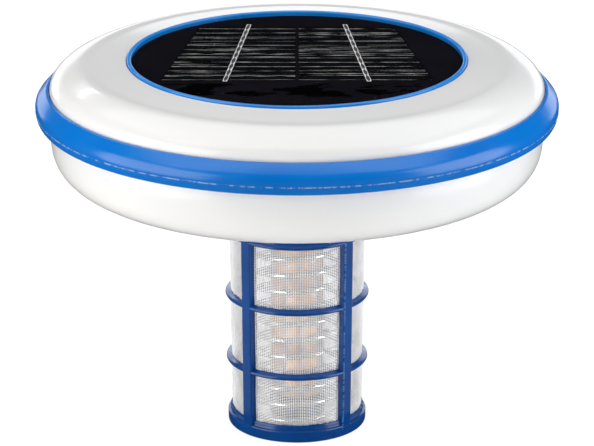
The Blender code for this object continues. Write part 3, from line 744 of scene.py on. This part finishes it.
def make_cage():
    rim = [
        (31.0, 0.0, 0.5), (35.9, 0.0, 0.5), (36.4, 0.8, 0.7), (basket_radius(5.9), 5.9, 0.5),
        (basket_radius(6.2) - 0.6, 6.35, 0.3), (35.35, 6.3, 0.25), (35.2, 8.4, 0.4), (34.9, 8.8, 0.2),
        (33.95, 8.8), (33.6, 8.6), (33.6, 4.3, 0.3), (31.0, 4.3, 0.4),
    ]
    goes(make_ring("basket_rim", rim, None, 8.8), "basket", "basket_blue", "basket_frame")
    for i, foot in enumerate((35.2, 71.2), 1):
        skin = mesh_radius(foot)
        hoop = [(skin - 0.55, foot + 0.1)] + hoop_face(foot)
        hoop += [(skin + 0.9, foot + 2.35, 0.5), (skin + 0.12, foot + 2.7), (skin - 0.55, foot + 2.65)]
        obj = make_ring(f"basket_hoop_{i}", hoop, foot, foot + 2.7)
        goes(obj, "basket", "basket_blue")
    foot = 107.3
    skin = mesh_radius(foot)
    collar = [(skin - 0.5, foot + 0.1)] + hoop_face(foot)
    collar += [
        (37.1, foot + 2.5, 0.4), (37.05, 127.9, 0.3), (36.7, 128.2, 0.3), (32.2, 128.2, 0.6),
        (32.2, foot + 2.6, 0.4), (skin - 0.5, foot + 2.6),
    ]
    goes(make_ring("basket_collar", collar, foot, None), "basket", "basket_blue")
    for i, angle in enumerate((225, 315, 45, 135), 1):
        goes(make_rib(f"basket_rib_{i}", angle), "basket", "basket_blue")
    cup = [
        (3.4, 11.0, 0.2), (12.9, 11.0, 0.6), (12.9, 2.0, 0.4), (14.4, 2.0, 0.4), (14.4, 12.6, 0.6),
        (13.6, 13.0, 0.5), (3.4, 13.0, 0.3),
    ]
    goes(lathe("basket_cup", cup, BASKET, 96), "basket", "basket_blue")
    for i, angle in enumerate((225, 315, 45, 135), 1):
        spoke = prism(
            f"basket_spoke_{i}",
            [(13.7, -1.5), (31.9, -1.5), (31.9, 1.5), (13.7, 1.5)],
            2.0, 4.3, BASKET, 0.45,
        )
        spoke.data.transform(Matrix.Rotation(math.radians(angle), 4, "Z"))
        goes(spoke, "basket", "basket_blue")


def make_rib(name, angle):
    """Upright bar. Its root creeps over the mesh between the wires, and its face has sink marks."""
    draw = np.random.default_rng(angle)
    low, high = 2.6, 108.9
    n = int((high - low) / (PITCH / 2))
    z = np.linspace(low, high, n + 1)
    k = np.arange(n + 1)
    creep = (k % 2) * (0.40 + 0.30 * draw.random(n + 1))
    out = np.where(
        z < 12.0,
        np.interp(
            z,
            (low, 4.0, 12.0),
            (basket_radius(3) - 0.45, basket_radius(4) - 0.1, basket_radius(12) + 0.4),
        ),
        basket_radius(z) + 0.42,
    )
    root = mesh_radius(z) - 0.45
    half = 3.15
    rough = 1.0 if angle == 315 else 0.12
    flash = rough * (k % 2) * np.clip(draw.random(n + 1) * 1.3, 0.0, 1.0)
    hatch = rough * 0.22 * (k % 2) * draw.random(n + 1)
    face = [-half + 0.55, -half + 1.1, -1.45, -1.0, 0.0, 1.0, half - 1.1, half - 0.55]
    columns = [(-half - 0.32 - creep, root), (-half - 0.05 - hatch, root + 0.75)]
    columns += [(-half - hatch, out - 0.75), (-half + 0.12 - 0.20 * flash, out - 0.28 + 0.10 * flash)]
    for t in face:
        sink = 0.05 * (1 - (t / half) ** 2)
        mark = 0.30 * flash if t < -half + 0.6 else 0.0
        columns.append((t + 0 * z, out - 0.05 + 0.05 * (1 - (abs(t) / half) ** 4) - sink * 0.6 + mark))
    columns += [(half - 0.12, out - 0.28), (half, out - 0.75), (half + 0.05, root + 0.75)]
    columns += [(half + 0.32 + creep, root)]
    count = len(columns)
    t = np.stack([np.broadcast_to(c[0], z.shape) for c in columns], 1)
    r = np.stack([np.broadcast_to(c[1], z.shape) for c in columns], 1)
    a = math.radians(angle)
    x = r * math.cos(a) - t * math.sin(a)
    y = r * math.sin(a) + t * math.cos(a)
    verts = np.stack([x, y, np.broadcast_to(z[:, None], x.shape)], -1).reshape(-1, 3)
    i, j = np.meshgrid(np.arange(n), np.arange(count), indexing="ij")
    j2 = (j + 1) % count
    faces = np.stack([i * count + j, (i + 1) * count + j, (i + 1) * count + j2, i * count + j2], -1)
    faces = faces.reshape(-1, 4).tolist()
    faces.append(list(range(count)))
    faces.append([n * count + c for c in range(count)][::-1])
    rib = add(name, verts, faces, BASKET, 50.0)
    # Painted highlight: on the rib at 315 degrees, the faces along the flash take the paler blue.
    rib.data.materials.append(PAINTED_EDGE_GLINT)
    for row in range(n):
        pale_mark = angle == 315 and flash[row] > 0.30
        for column in (3, 4):
            rib.data.polygons[row * count + column].material_index = int(pale_mark)
    return rib


WIRE_SIDES = 6


def weave_section(centre, across, up, radius):
    """The corners of a wire's section at each point of many wires."""
    turn = [2 * math.pi * k / WIRE_SIDES for k in range(WIRE_SIDES)]
    return np.stack([centre + (across * math.cos(a) + up * math.sin(a)) * radius for a in turn], -2)


def woven(name, corners, closed):
    """Tubes through corners, an array of (wire, point, corner, 3)."""
    wires, points = corners.shape[:2]
    w, p, c = np.meshgrid(
        np.arange(wires), np.arange(points if closed else points - 1), np.arange(WIRE_SIDES), indexing="ij"
    )
    p2, c2 = (p + 1) % points, (c + 1) % WIRE_SIDES

    def index(point, corner):
        return (w * points + point) * WIRE_SIDES + corner

    faces = np.stack([index(p, c), index(p2, c), index(p2, c2), index(p, c2)], -1).reshape(-1, 4)
    faces = faces.tolist()
    if not closed:
        for wire in range(wires):
            first = wire * points * WIRE_SIDES
            last = first + (points - 1) * WIRE_SIDES
            faces.append([first + k for k in range(WIRE_SIDES)])
            faces.append([last + k for k in range(WIRE_SIDES)][::-1])
    return add(name, corners.reshape(-1, 3), faces, WOVEN, 180.0)


def make_sleeve():
    """Plain-woven sleeve: upright wires and rings that pass over and under each other."""
    low, high = 4.9, 109.7
    rows = int((high - low) / PITCH) + 1
    z = low + np.arange(rows) * PITCH
    angle = np.arange(WARP) * 2 * math.pi / WARP
    spans = np.array([8.8, 36.5, 72.5, 108.5])  # heights where the cage holds the sleeve
    belly = np.zeros(rows)
    for a, b in zip(spans[:-1], spans[1:]):
        inside = (z > a) & (z < b)
        belly += inside * np.sin(math.pi * (z - a) / (b - a)) * 0.28
    wire, weave = 0.19, 0.18  # a wire's radius, and how far it swings in and out
    draw = np.random.default_rng(5)
    sway = draw.normal(size=WARP) * 0.0003
    slow = smooth_wave(angle, 21, 7, 0.0009)
    th = (angle + sway + slow)[:, None] + np.zeros(rows)[None, :]
    th += 0.0022 * np.sin(z[None, :] / 19.0 + 3 * angle[:, None])
    lift = draw.normal(size=rows) * 0.010
    tilt = 0.16 * np.sin(2 * angle[:, None] + z[None, :] / 23.0)
    tilt = tilt + 0.12 * smooth_wave(angle, 22, 6, 1.0)[:, None]
    zz = (z + lift)[None, :] + tilt * np.clip((z[None, :] - 8.0) / 12.0, 0, 1)
    lumps = 0.07 * np.sin(5 * angle[:, None] + z[None, :] / 11.0)
    lumps = lumps + 0.05 * np.sin(11 * angle[:, None] - z[None, :] / 7.0)
    rr = (mesh_radius(z) - 0.25 + belly)[None, :] + lumps
    sign = np.where((np.arange(WARP)[:, None] + np.arange(rows)[None, :]) % 2, 1.0, -1.0)
    out = np.stack([np.cos(th), np.sin(th), np.zeros_like(th)], -1)
    along = np.stack([-np.sin(th), np.cos(th), np.zeros_like(th)], -1)
    up = np.broadcast_to(np.array([0.0, 0.0, 1.0]), out.shape)

    def at(offset):
        return out * (rr + offset)[..., None] + up * zz[..., None]

    warp = weave_section(at(sign * weave), along, out, wire)
    half = WARP // 2
    for i, word in ((0, "back"), (half, "front")):
        obj = woven(f"basket_mesh_warp_{word}", warp[i : i + half], False)
        goes(obj, "basket", "woven_steel", *(("basket_mesh",) if i else ()))
    weft = weave_section(at(-sign * weave), out, up, wire).transpose(1, 0, 2, 3)
    middle = rows // 2
    goes(woven("basket_mesh_weft_low", weft[:middle], True), "basket", "woven_steel")
    goes(woven("basket_mesh_weft_high", weft[middle:], True), "basket", "woven_steel")


def make_floor_mesh():
    """Woven disc between the cup and the rim, made of straight wires both ways."""
    outer, inner, level = 33.2, 14.3, 4.85
    for word, turn in (("x", 0), ("y", 1)):
        pieces_v, pieces_f = [], []
        count = int(outer / PITCH)
        for i in range(-count, count + 1):
            across = i * PITCH
            reach = math.sqrt(outer**2 - across**2)
            gap = math.sqrt(inner**2 - across**2) if abs(across) < inner else 0.0
            runs = [(-reach, -gap), (gap, reach)] if gap else [(-reach, reach)]
            for a, b in runs:
                first, last = math.ceil(a / PITCH), math.floor(b / PITCH)
                along = np.arange(first, last + 1) * PITCH
                if len(along) < 2:
                    continue
                k = np.arange(first, last + 1)
                up = np.where((k + i + turn) % 2, 0.15, -0.15)
                base = len(pieces_v)
                for s, lift in zip(along, up):
                    for da, dz in ((0.17, 0), (0, 0.17), (-0.17, 0), (0, -0.17)):
                        p = (s, across + da, level + lift + dz)
                        pieces_v.append((p[1], p[0], p[2]) if turn else p)
                n = len(along)
                for q in range(n - 1):
                    for c in range(4):
                        a, b, c2 = base + 4 * q, base + 4 * q + 4, (c + 1) % 4
                        f = (a + c, b + c, b + c2, a + c2)
                        pieces_f.append(f if turn else f[::-1])
                ends = [[base + c for c in range(4)], [base + 4 * (n - 1) + c for c in (3, 2, 1, 0)]]
                pieces_f += ends if turn else [e[::-1] for e in ends]
        obj = add(f"floor_mesh_{word}", pieces_v, pieces_f, WOVEN, 180.0)
        goes(obj, "basket", "woven_steel", *(("floor_mesh",) if turn else ()))


# ---------------------------------------------------------------- electrodes
def make_coil():
    foot, top, pitch = 7.0, 114.3, 9.0
    turns = (top - foot) / pitch
    flat = 0.6  # turns that lie flat at each end
    total = turns + 2 * flat
    t = np.linspace(0.0, total, int(total * 56))
    climbed = np.clip(t - flat, 0.0, turns) / turns
    soft = 0.05 * np.sin(t * 2.4) + 0.04 * np.sin(t * 5.1 + 1.0)
    r = 25.5 + 0.04 * np.sin(t * 3.3)
    z = foot + climbed * (top - foot) + soft * (climbed > 0) * (climbed < 1)
    points = np.stack([r * np.cos(2 * math.pi * t), r * np.sin(2 * math.pi * t), z], -1)
    obj = tube("cathode_coil_wire", points, 1.5, WIRE, 16)
    goes(obj, "coil", "stainless", "cathode_coil")


def make_anode():
    outline = [
        (3.4, 23.6, 0.2), (7.2, 23.6, 0.3), (7.2, 16.4), (7.6, 16.0, 0.2), (13.0, 16.0, 0.3),
        (14.0, 17.0, 0.6),
    ]
    outline += [(14.0 - 0.03 * (i % 2), 20.0 + i * 3.0) for i in range(31)]
    outline += [(14.0, 113.0, 0.6), (13.0, 114.0, 0.3), (3.4, 114.0, 0.2)]
    goes(lathe("anode_rod", outline, COPPER, 128), "anode", "copper", "anode")
    nut = hex_nut("anode_nut_hex", 10.0, 17.3, 22.3, 3.0)
    goes(nut, "anode", "stainless", "anode_nut")
    washer = lathe(
        "anode_washer_plate",
        [(3.4, 22.5, 0.1), (6.6, 22.5, 0.2), (6.6, 23.4, 0.2), (3.4, 23.4, 0.1)],
        STEEL, 64,
    )
    goes(washer, "anode", "stainless", "anode_washer")


def hex_nut(name, across, low, high, bore, at=(0.0, 0.0)):
    """A hexagon nut with its corners chamfered at both ends."""
    corner = across / math.sqrt(3)
    hexagon = [
        (at[0] + corner * math.cos(math.radians(60 * k)), at[1] + corner * math.sin(math.radians(60 * k)))
        for k in range(6)
    ]
    nut = prism(name, hexagon, low, high, STEEL)
    flat, drop = across / 2 * 0.97, (corner - across / 2) * 0.62
    chamfer = lathe(
        "tool",
        [
            (bore, low), (flat, low), (corner + 0.1, low + drop), (corner + 0.1, high - drop),
            (flat, high), (bore, high),
        ],
        STEEL, 64, at=at,
    )
    return boolean(nut, [chamfer], "INTERSECT", STEEL, 25.0)


def make_stud():
    """M6 stud with its thread cut as a real helix."""
    low, high, pitch, sides, per = 3.0, 134.0, 1.0, 24, 6
    n = int((high - low) / pitch * per)
    z = np.linspace(low, high, n + 1)
    angle = np.arange(sides) * 2 * math.pi / sides
    phase = (z[:, None] / pitch - angle[None, :] / (2 * math.pi)) % 1.0
    depth = 0.30 * np.abs(phase * 2 - 1)
    taper = np.clip((z[:, None] - low) / 0.9, 0.0, 1.0) * np.clip((high - z[:, None]) / 0.9, 0.0, 1.0)
    r = 2.35 + (0.65 - depth) * taper
    verts = np.stack([r * np.cos(angle), r * np.sin(angle), np.broadcast_to(z[:, None], r.shape)], -1)
    stud = add("anode_stud_thread", verts.reshape(-1, 3), capped(n + 1, sides), STEEL, 50.0)
    goes(stud, "root", "stainless", "anode_stud")


def make_hub():
    outline = [
        (3.4, 117.5, 0.2), (31.5, 117.5, 0.8), (31.5, 128.5, 0.6), (37.0, 128.5, 0.5), (37.0, 131.2, 0.4),
        (30.0, 131.2, 0.3), (30.0, 147.0, 0.5), (27.0, 147.0, 0.4), (27.0, 134.0, 1.0), (28.5, 131.0, 1.0),
        (28.5, 120.5, 0.8), (7.5, 120.5, 0.5), (7.5, 121.7, 0.4), (3.4, 121.7, 0.2),
    ]
    goes(lathe("electrode_hub_fitting", outline, HUB, 128), "root", "hub_plastic", "electrode_hub")
    seal = [(30.8, 131.5, 0.3), (36.5, 131.5, 0.4), (36.5, 132.9, 0.4), (30.8, 132.9, 0.3)]
    goes(lathe("hub_seal_ring", seal, RUBBER, 96), "root", "seal_rubber", "hub_seal")
    ring = lathe(
        "hub_lock_ring_nut",
        [(30.3, 136.0, 0.3), (37.5, 136.0, 0.5), (37.5, 142.0, 0.5), (30.3, 142.0, 0.3)],
        HUB, 96,
    )
    notches = []
    for angle in range(0, 360, 60):
        notch = prism("tool", [(35.0, -3.0), (41.0, -3.0), (41.0, 3.0), (35.0, 3.0)], 139.1, 144.1, HUB)
        notch.data.transform(Matrix.Rotation(math.radians(angle), 4, "Z"))
        notches.append(notch)
    boolean(ring, notches, "DIFFERENCE", HUB)
    goes(ring, "root", "hub_plastic", "hub_lock_ring")
    spacer = [(3.4, 114.3, 0.2), (12.0, 114.3, 0.4), (12.0, 117.2, 0.4), (3.4, 117.2, 0.2)]
    goes(lathe("anode_spacer_disc", spacer, RUBBER, 72), "root", "seal_rubber", "anode_spacer")
    plate = [(15.8, 116.2, 0.15), (28.6, 116.2, 0.2), (28.6, 117.2, 0.2), (15.8, 117.2, 0.15)]
    goes(lathe("cathode_ring_plate", plate, STEEL, 112), "root", "stainless", "cathode_ring")
    for i, x in ((1, 19.5), (2, -19.5)):
        screw = lathe(
            f"cathode_screw_{i}_pan",
            [
                (0.0, 114.1), (1.7, 114.1, 0.5), (2.8, 114.7, 0.5), (2.8, 115.9, 0.1), (1.5, 115.9, 0.1),
                (1.5, 126.4), (1.1, 127.0), (0.0, 127.0),
            ],
            STEEL, 32, at=(x, 0.0),
        )
        cross = []
        for w, d in ((1.15, 0.3), (0.3, 1.15)):
            cross.append(
                prism("tool", [(x - w, -d), (x + w, -d), (x + w, d), (x - w, d)], 113.0, 114.8, STEEL)
            )
        boolean(screw, cross, "DIFFERENCE", STEEL)
        goes(screw, "root", "stainless", f"cathode_screw_{i}")
        low = 120.8 + (1.1 if i == 1 else 0.0)
        nut = hex_nut(f"cathode_nut_{i}_hex", 5.5, low, low + 2.4, 1.6, (x, 0.0))
        goes(nut, "root", "stainless", f"cathode_nut_{i}")
    goes(hex_nut("stud_nut_hex", 10.0, 123.1, 128.1, 3.05), "root", "stainless", "stud_nut")


def make_wing_nut():
    """Cast wing nut, its body and wings blended into one skin."""
    body = lathe(
        "wing_nut_casting",
        [(2.95, 4.4, 0.2), (4.6, 4.4, 0.4), (5.8, 8.4, 0.8), (5.8, 9.6, 0.4), (2.95, 9.6, 0.2)],
        STEEL, 72,
    )
    wings = []
    for side in (-1, 1):
        outline = [(4.0, 8.0), (4.0, 4.6)]
        for i in range(17):
            a = math.radians(-110 + 200 * i / 16)
            outline.append((8.6 + 3.3 * math.cos(a), 5.4 + 3.3 * math.sin(a)))
        wing = prism("wing", [(side * x, z) for x, z in outline], -0.85, 0.85, STEEL, 0.35, 3, True)
        wings.append(wing)
    boolean(body, wings, "UNION", STEEL)
    remesh = body.modifiers.new("skin", "REMESH")
    remesh.mode = "VOXEL"
    remesh.voxel_size = 0.14 * MM
    soften = body.modifiers.new("soften", "SMOOTH")
    soften.factor = 0.5
    soften.iterations = 4
    applied(body, STEEL, 180.0)
    goes(body, "nut", "stainless", "wing_nut")
    washer = [(3.4, 9.9, 0.1), (7.0, 9.9, 0.2), (7.0, 10.7, 0.2), (3.4, 10.7, 0.1)]
    goes(lathe("nut_washer_plate", washer, STEEL, 64), "washer", "stainless", "nut_washer")


# ---------------------------------------------------------------- inside the float
def spline_route(points, count):
    """Points of a Catmull-Rom curve through the given ones."""
    knots = [np.array(p, float) for p in (points[0], *points, points[-1])]
    spans = len(points) - 1
    route = []
    for i in range(count + 1):
        t = min(i * spans / count, spans - 1e-9)
        k = int(t)
        u = t - k
        a, b, c, d = knots[k : k + 4]
        route.append(
            0.5
            * (2 * b + (c - a) * u + (2 * a - 5 * b + 4 * c - d) * u**2 + (3 * b - a - 3 * c + d) * u**3)
        )
    return route


def make_inside():
    gasket = [(125.0, 177.75, 0.2), (130.4, 177.75, 0.25), (130.4, 178.65, 0.25), (125.0, 178.65, 0.2)]
    goes(lathe("seam_gasket_ring", gasket, RUBBER, 192), "root", "seal_rubber", "seam_gasket")
    gasket = [(77.0, 191.0, 0.3), (84.6, 191.0, 0.3), (84.6, 192.3, 0.3), (77.0, 192.3, 0.3)]
    goes(lathe("panel_gasket_ring", gasket, RUBBER, 160), "root", "seal_rubber", "panel_gasket")
    corners = [(-13, -9), (13, -9), (13, 9), (-13, 9)]
    block = prism("junction_box_block", corners, 184.3, 192.3, BLACK, 0.9, 4)
    goes(block, "root", "lead_black", "junction_box")
    positive = (
        (0.0, 12.9, 123.1), (0.0, 16.5, 124.4), (2.0, 19.0, 134.0), (6.0, 20.0, 150.0),
        (9.0, 15.0, 166.0), (8.0, 6.0, 178.0), (6.0, 3.0, 183.9),
    )
    negative = (
        (8.5, -0.4, 122.0), (7.6, -4.5, 123.6), (8.0, -12.0, 138.0), (2.0, -19.0, 152.0),
        (-7.0, -14.0, 168.0), (-8.0, -5.0, 179.0), (-6.0, -3.0, 183.9),
    )
    for word, route, finish, slot in (
        ("positive", positive, RED, "lead_red"),
        ("negative", negative, BLACK, "lead_black"),
    ):
        lead = tube(f"{word}_lead_wire", spline_route(route, 96), 0.9, finish, 14)
        goes(lead, "root", slot, f"{word}_lead")
    for word in ("positive", "negative"):
        node = frame["nodes"][f"{word}_terminal"]
        for slot in node.material_slots:
            slot.material = TIN


make_shells()
make_bumper()
make_bezel()
make_panel()
make_cage()
make_sleeve()
make_floor_mesh()
make_coil()
make_anode()
make_stud()
make_hub()
make_wing_nut()
make_inside()


# ---------------------------------------------------------------- stage, light and camera
def make_floor():
    mesh = bpy.data.meshes.new("floor")
    work = bmesh.new()
    bmesh.ops.create_circle(work, cap_ends=True, segments=96, radius=7.0)
    bmesh.ops.translate(work, verts=work.verts, vec=(0, 0, -0.0002))
    work.to_mesh(mesh)
    work.free()
    floor = bpy.data.objects.new("floor", mesh)
    bpy.context.scene.collection.objects.link(floor)
    f = Finish("pale_floor", Roughness=0.9, Specular_IOR_Level=0.0)
    f.shader.inputs["Emission Color"].default_value = (1.0, 1.0, 1.0, 1.0)
    away = f.node("ShaderNodeVectorMath")
    away.operation = "LENGTH"
    f.put(away.inputs[0], f.place)
    seen = f.node("ShaderNodeLightPath").outputs["Is Camera Ray"]
    glow = f.ramp(away.outputs["Value"], 0.15, 0.9, 0.55, 0.90)
    # Brighter to the camera than as a light on the object.
    lit = f.math("ADD", 0.25, f.math("MULTIPLY", seen, 0.75))
    f.put(f.shader.inputs["Emission Strength"], f.math("MULTIPLY", glow, lit))
    f.colour(f.mix(f.noise(300.0), (0.90, 0.90, 0.90), (0.92, 0.92, 0.92)))
    # Frosted, so that pieces lowered past the floor in a pose still show through it.
    f.put(f.shader.inputs["Alpha"], f.math("SUBTRACT", 1.0, f.math("MULTIPLY", seen, 0.65)))
    mesh.materials.append(f.material)
    floor.visible_glossy = False


def soft_light(name, at, target, size, power, colour=(1.0, 1.0, 1.0)):
    data = bpy.data.lights.new(name, "AREA")
    data.shape = "RECTANGLE"
    data.size, data.size_y = size
    data.energy = power
    data.color = colour
    obj = bpy.data.objects.new(name, data)
    obj.location = at
    obj.rotation_euler = (Vector(target) - Vector(at)).to_track_quat("-Z", "Y").to_euler()
    obj.visible_camera = False
    bpy.context.scene.collection.objects.link(obj)
    return obj


def only(light, name, *words):
    """Keeps a light to the pieces whose names hold one of the words."""
    group = bpy.data.collections.new(name)
    for obj in bpy.context.scene.objects:
        if obj.type == "MESH" and any(word in obj.name for word in words):
            group.objects.link(obj)
    light.light_linking.receiver_collection = group


def around(azimuth, distance, height):
    """A place round the object. Azimuth 0 is in front of it, on the camera's side."""
    a = math.radians(azimuth)
    return (distance * math.sin(a), -distance * math.cos(a), height)


def make_light():
    world = bpy.data.worlds.new("studio")
    bpy.context.scene.world = world
    world.use_nodes = True
    tree = world.node_tree
    tree.nodes.clear()
    out = tree.nodes.new("ShaderNodeOutputWorld")
    mix = tree.nodes.new("ShaderNodeMixShader")
    path = tree.nodes.new("ShaderNodeLightPath")
    dim, bright = tree.nodes.new("ShaderNodeBackground"), tree.nodes.new("ShaderNodeBackground")
    dim.inputs["Color"].default_value = (0.92, 0.95, 1.0, 1.0)
    dim.inputs["Strength"].default_value = 0.03
    bright.inputs["Color"].default_value = (1.0, 1.0, 1.0, 1.0)
    tree.links.new(path.outputs["Is Camera Ray"], mix.inputs[0])
    tree.links.new(dim.outputs[0], mix.inputs[1])
    tree.links.new(bright.outputs[0], mix.inputs[2])
    tree.links.new(mix.outputs[0], out.inputs[0])
    aim = (0.0, 0.0, 0.12)
    soft_light("left_box", around(-62, 0.95, 0.28), aim, (0.95, 0.98), 8.5, (1.0, 0.985, 0.955))
    soft_light("right_box", around(73, 0.95, 0.28), aim, (0.80, 0.98), 8.0, (0.965, 0.98, 1.0))
    soft_light("top", (0.0, 0.20, 1.20), (0.0, 0.10, 0.20), (2.0, 1.5), 12.4, (0.975, 0.98, 1.0))
    soft_light("back_low", (0.0, 2.0, 0.28), (0.0, 0.0, 0.20), (3.4, 0.55), 8.0, (0.96, 0.98, 1.0))
    soft_light("back_strip", (-0.85, 1.70, 1.15), (0.0, 0.0, 0.20), (0.6, 0.05), 1.1)
    soft_light("front_high", (0.0, -0.50, 1.25), aim, (2.6, 0.30), 1.3, (1.0, 0.99, 0.97))
    fill = soft_light("front_fill", around(0, 1.20, 0.22), aim, (0.6, 0.5), 1.0, (1.0, 1.0, 0.99))
    only(fill, "front_filled", "shell", "mesh_", "anode_rod", "coil_wire")
    band = soft_light("band_sheen", (0.0, -0.45, 1.25), aim, (2.8, 0.5), 5.6)
    band.visible_glossy = False
    only(band, "blue_bands", "bumper_band", "panel_bezel")
    for word, azimuth in (("left", -37), ("right", 50)):
        side = around(azimuth, 0.9, 0.10)
        glint = soft_light(f"coil_glint_{word}", side, (0.0, 0.0, 0.06), (0.30, 0.34), 7.5)
        only(glint, "coil_only", "coil_wire")
        x, y, _ = around(azimuth, 0.24, 0.0)
        warm = soft_light(f"anode_side_{word}", (x, y, -0.02), (x, y, 1.0), (0.26, 0.26), 1.1)
        only(warm, "anode_only", "anode_rod")
    sheen = soft_light(
        "hoop_sheen", (0.0, 2.0, 0.80), (0.0, 0.0, 0.08), (3.2, 0.7), 13.0, (0.93, 0.93, 1.0)
    )
    cage = ("basket_rim", "basket_hoop", "basket_collar", "basket_rib")
    only(sheen, "cage_only", *cage)
    for side in (-1, 1):
        pool = soft_light("floor_pool", (side * 0.45, 0.1, -0.02), (side * 0.45, 0.1, 1.0), (0.7, 1.0), 0.8)
        only(pool, "cage_only", *cage)
    shine = soft_light("ribbon_shine", (0.0, 0.30, 1.25), aim, (0.7, 0.7), 4.5)
    only(shine, "printed_silver", "cell_ribbon", "cell_fingers")
    radiance, wide = 1.18, 4.0
    power = radiance * math.pi * wide**2
    glow = soft_light("floor_glow", (0.0, 0.0, -0.02), (0.0, 0.0, 1.0), (wide, wide), power)
    only(glow, "mirrors_the_floor", "mesh_")


def make_camera():
    elevation, distance, height = math.radians(19.18), 1.8, 0.1094
    data = bpy.data.cameras.new("camera")
    data.sensor_width = 36.0
    data.lens = 208.6
    camera = bpy.data.objects.new("camera", data)
    camera.location = (0.0, -distance * math.cos(elevation), height + distance * math.sin(elevation))
    camera.rotation_euler = (math.pi / 2 - elevation, 0.0, 0.0)
    bpy.context.scene.collection.objects.link(camera)
    bpy.context.scene.camera = camera


make_floor()
make_light()
make_camera()
bpy.context.scene.view_settings.view_transform = "Standard"
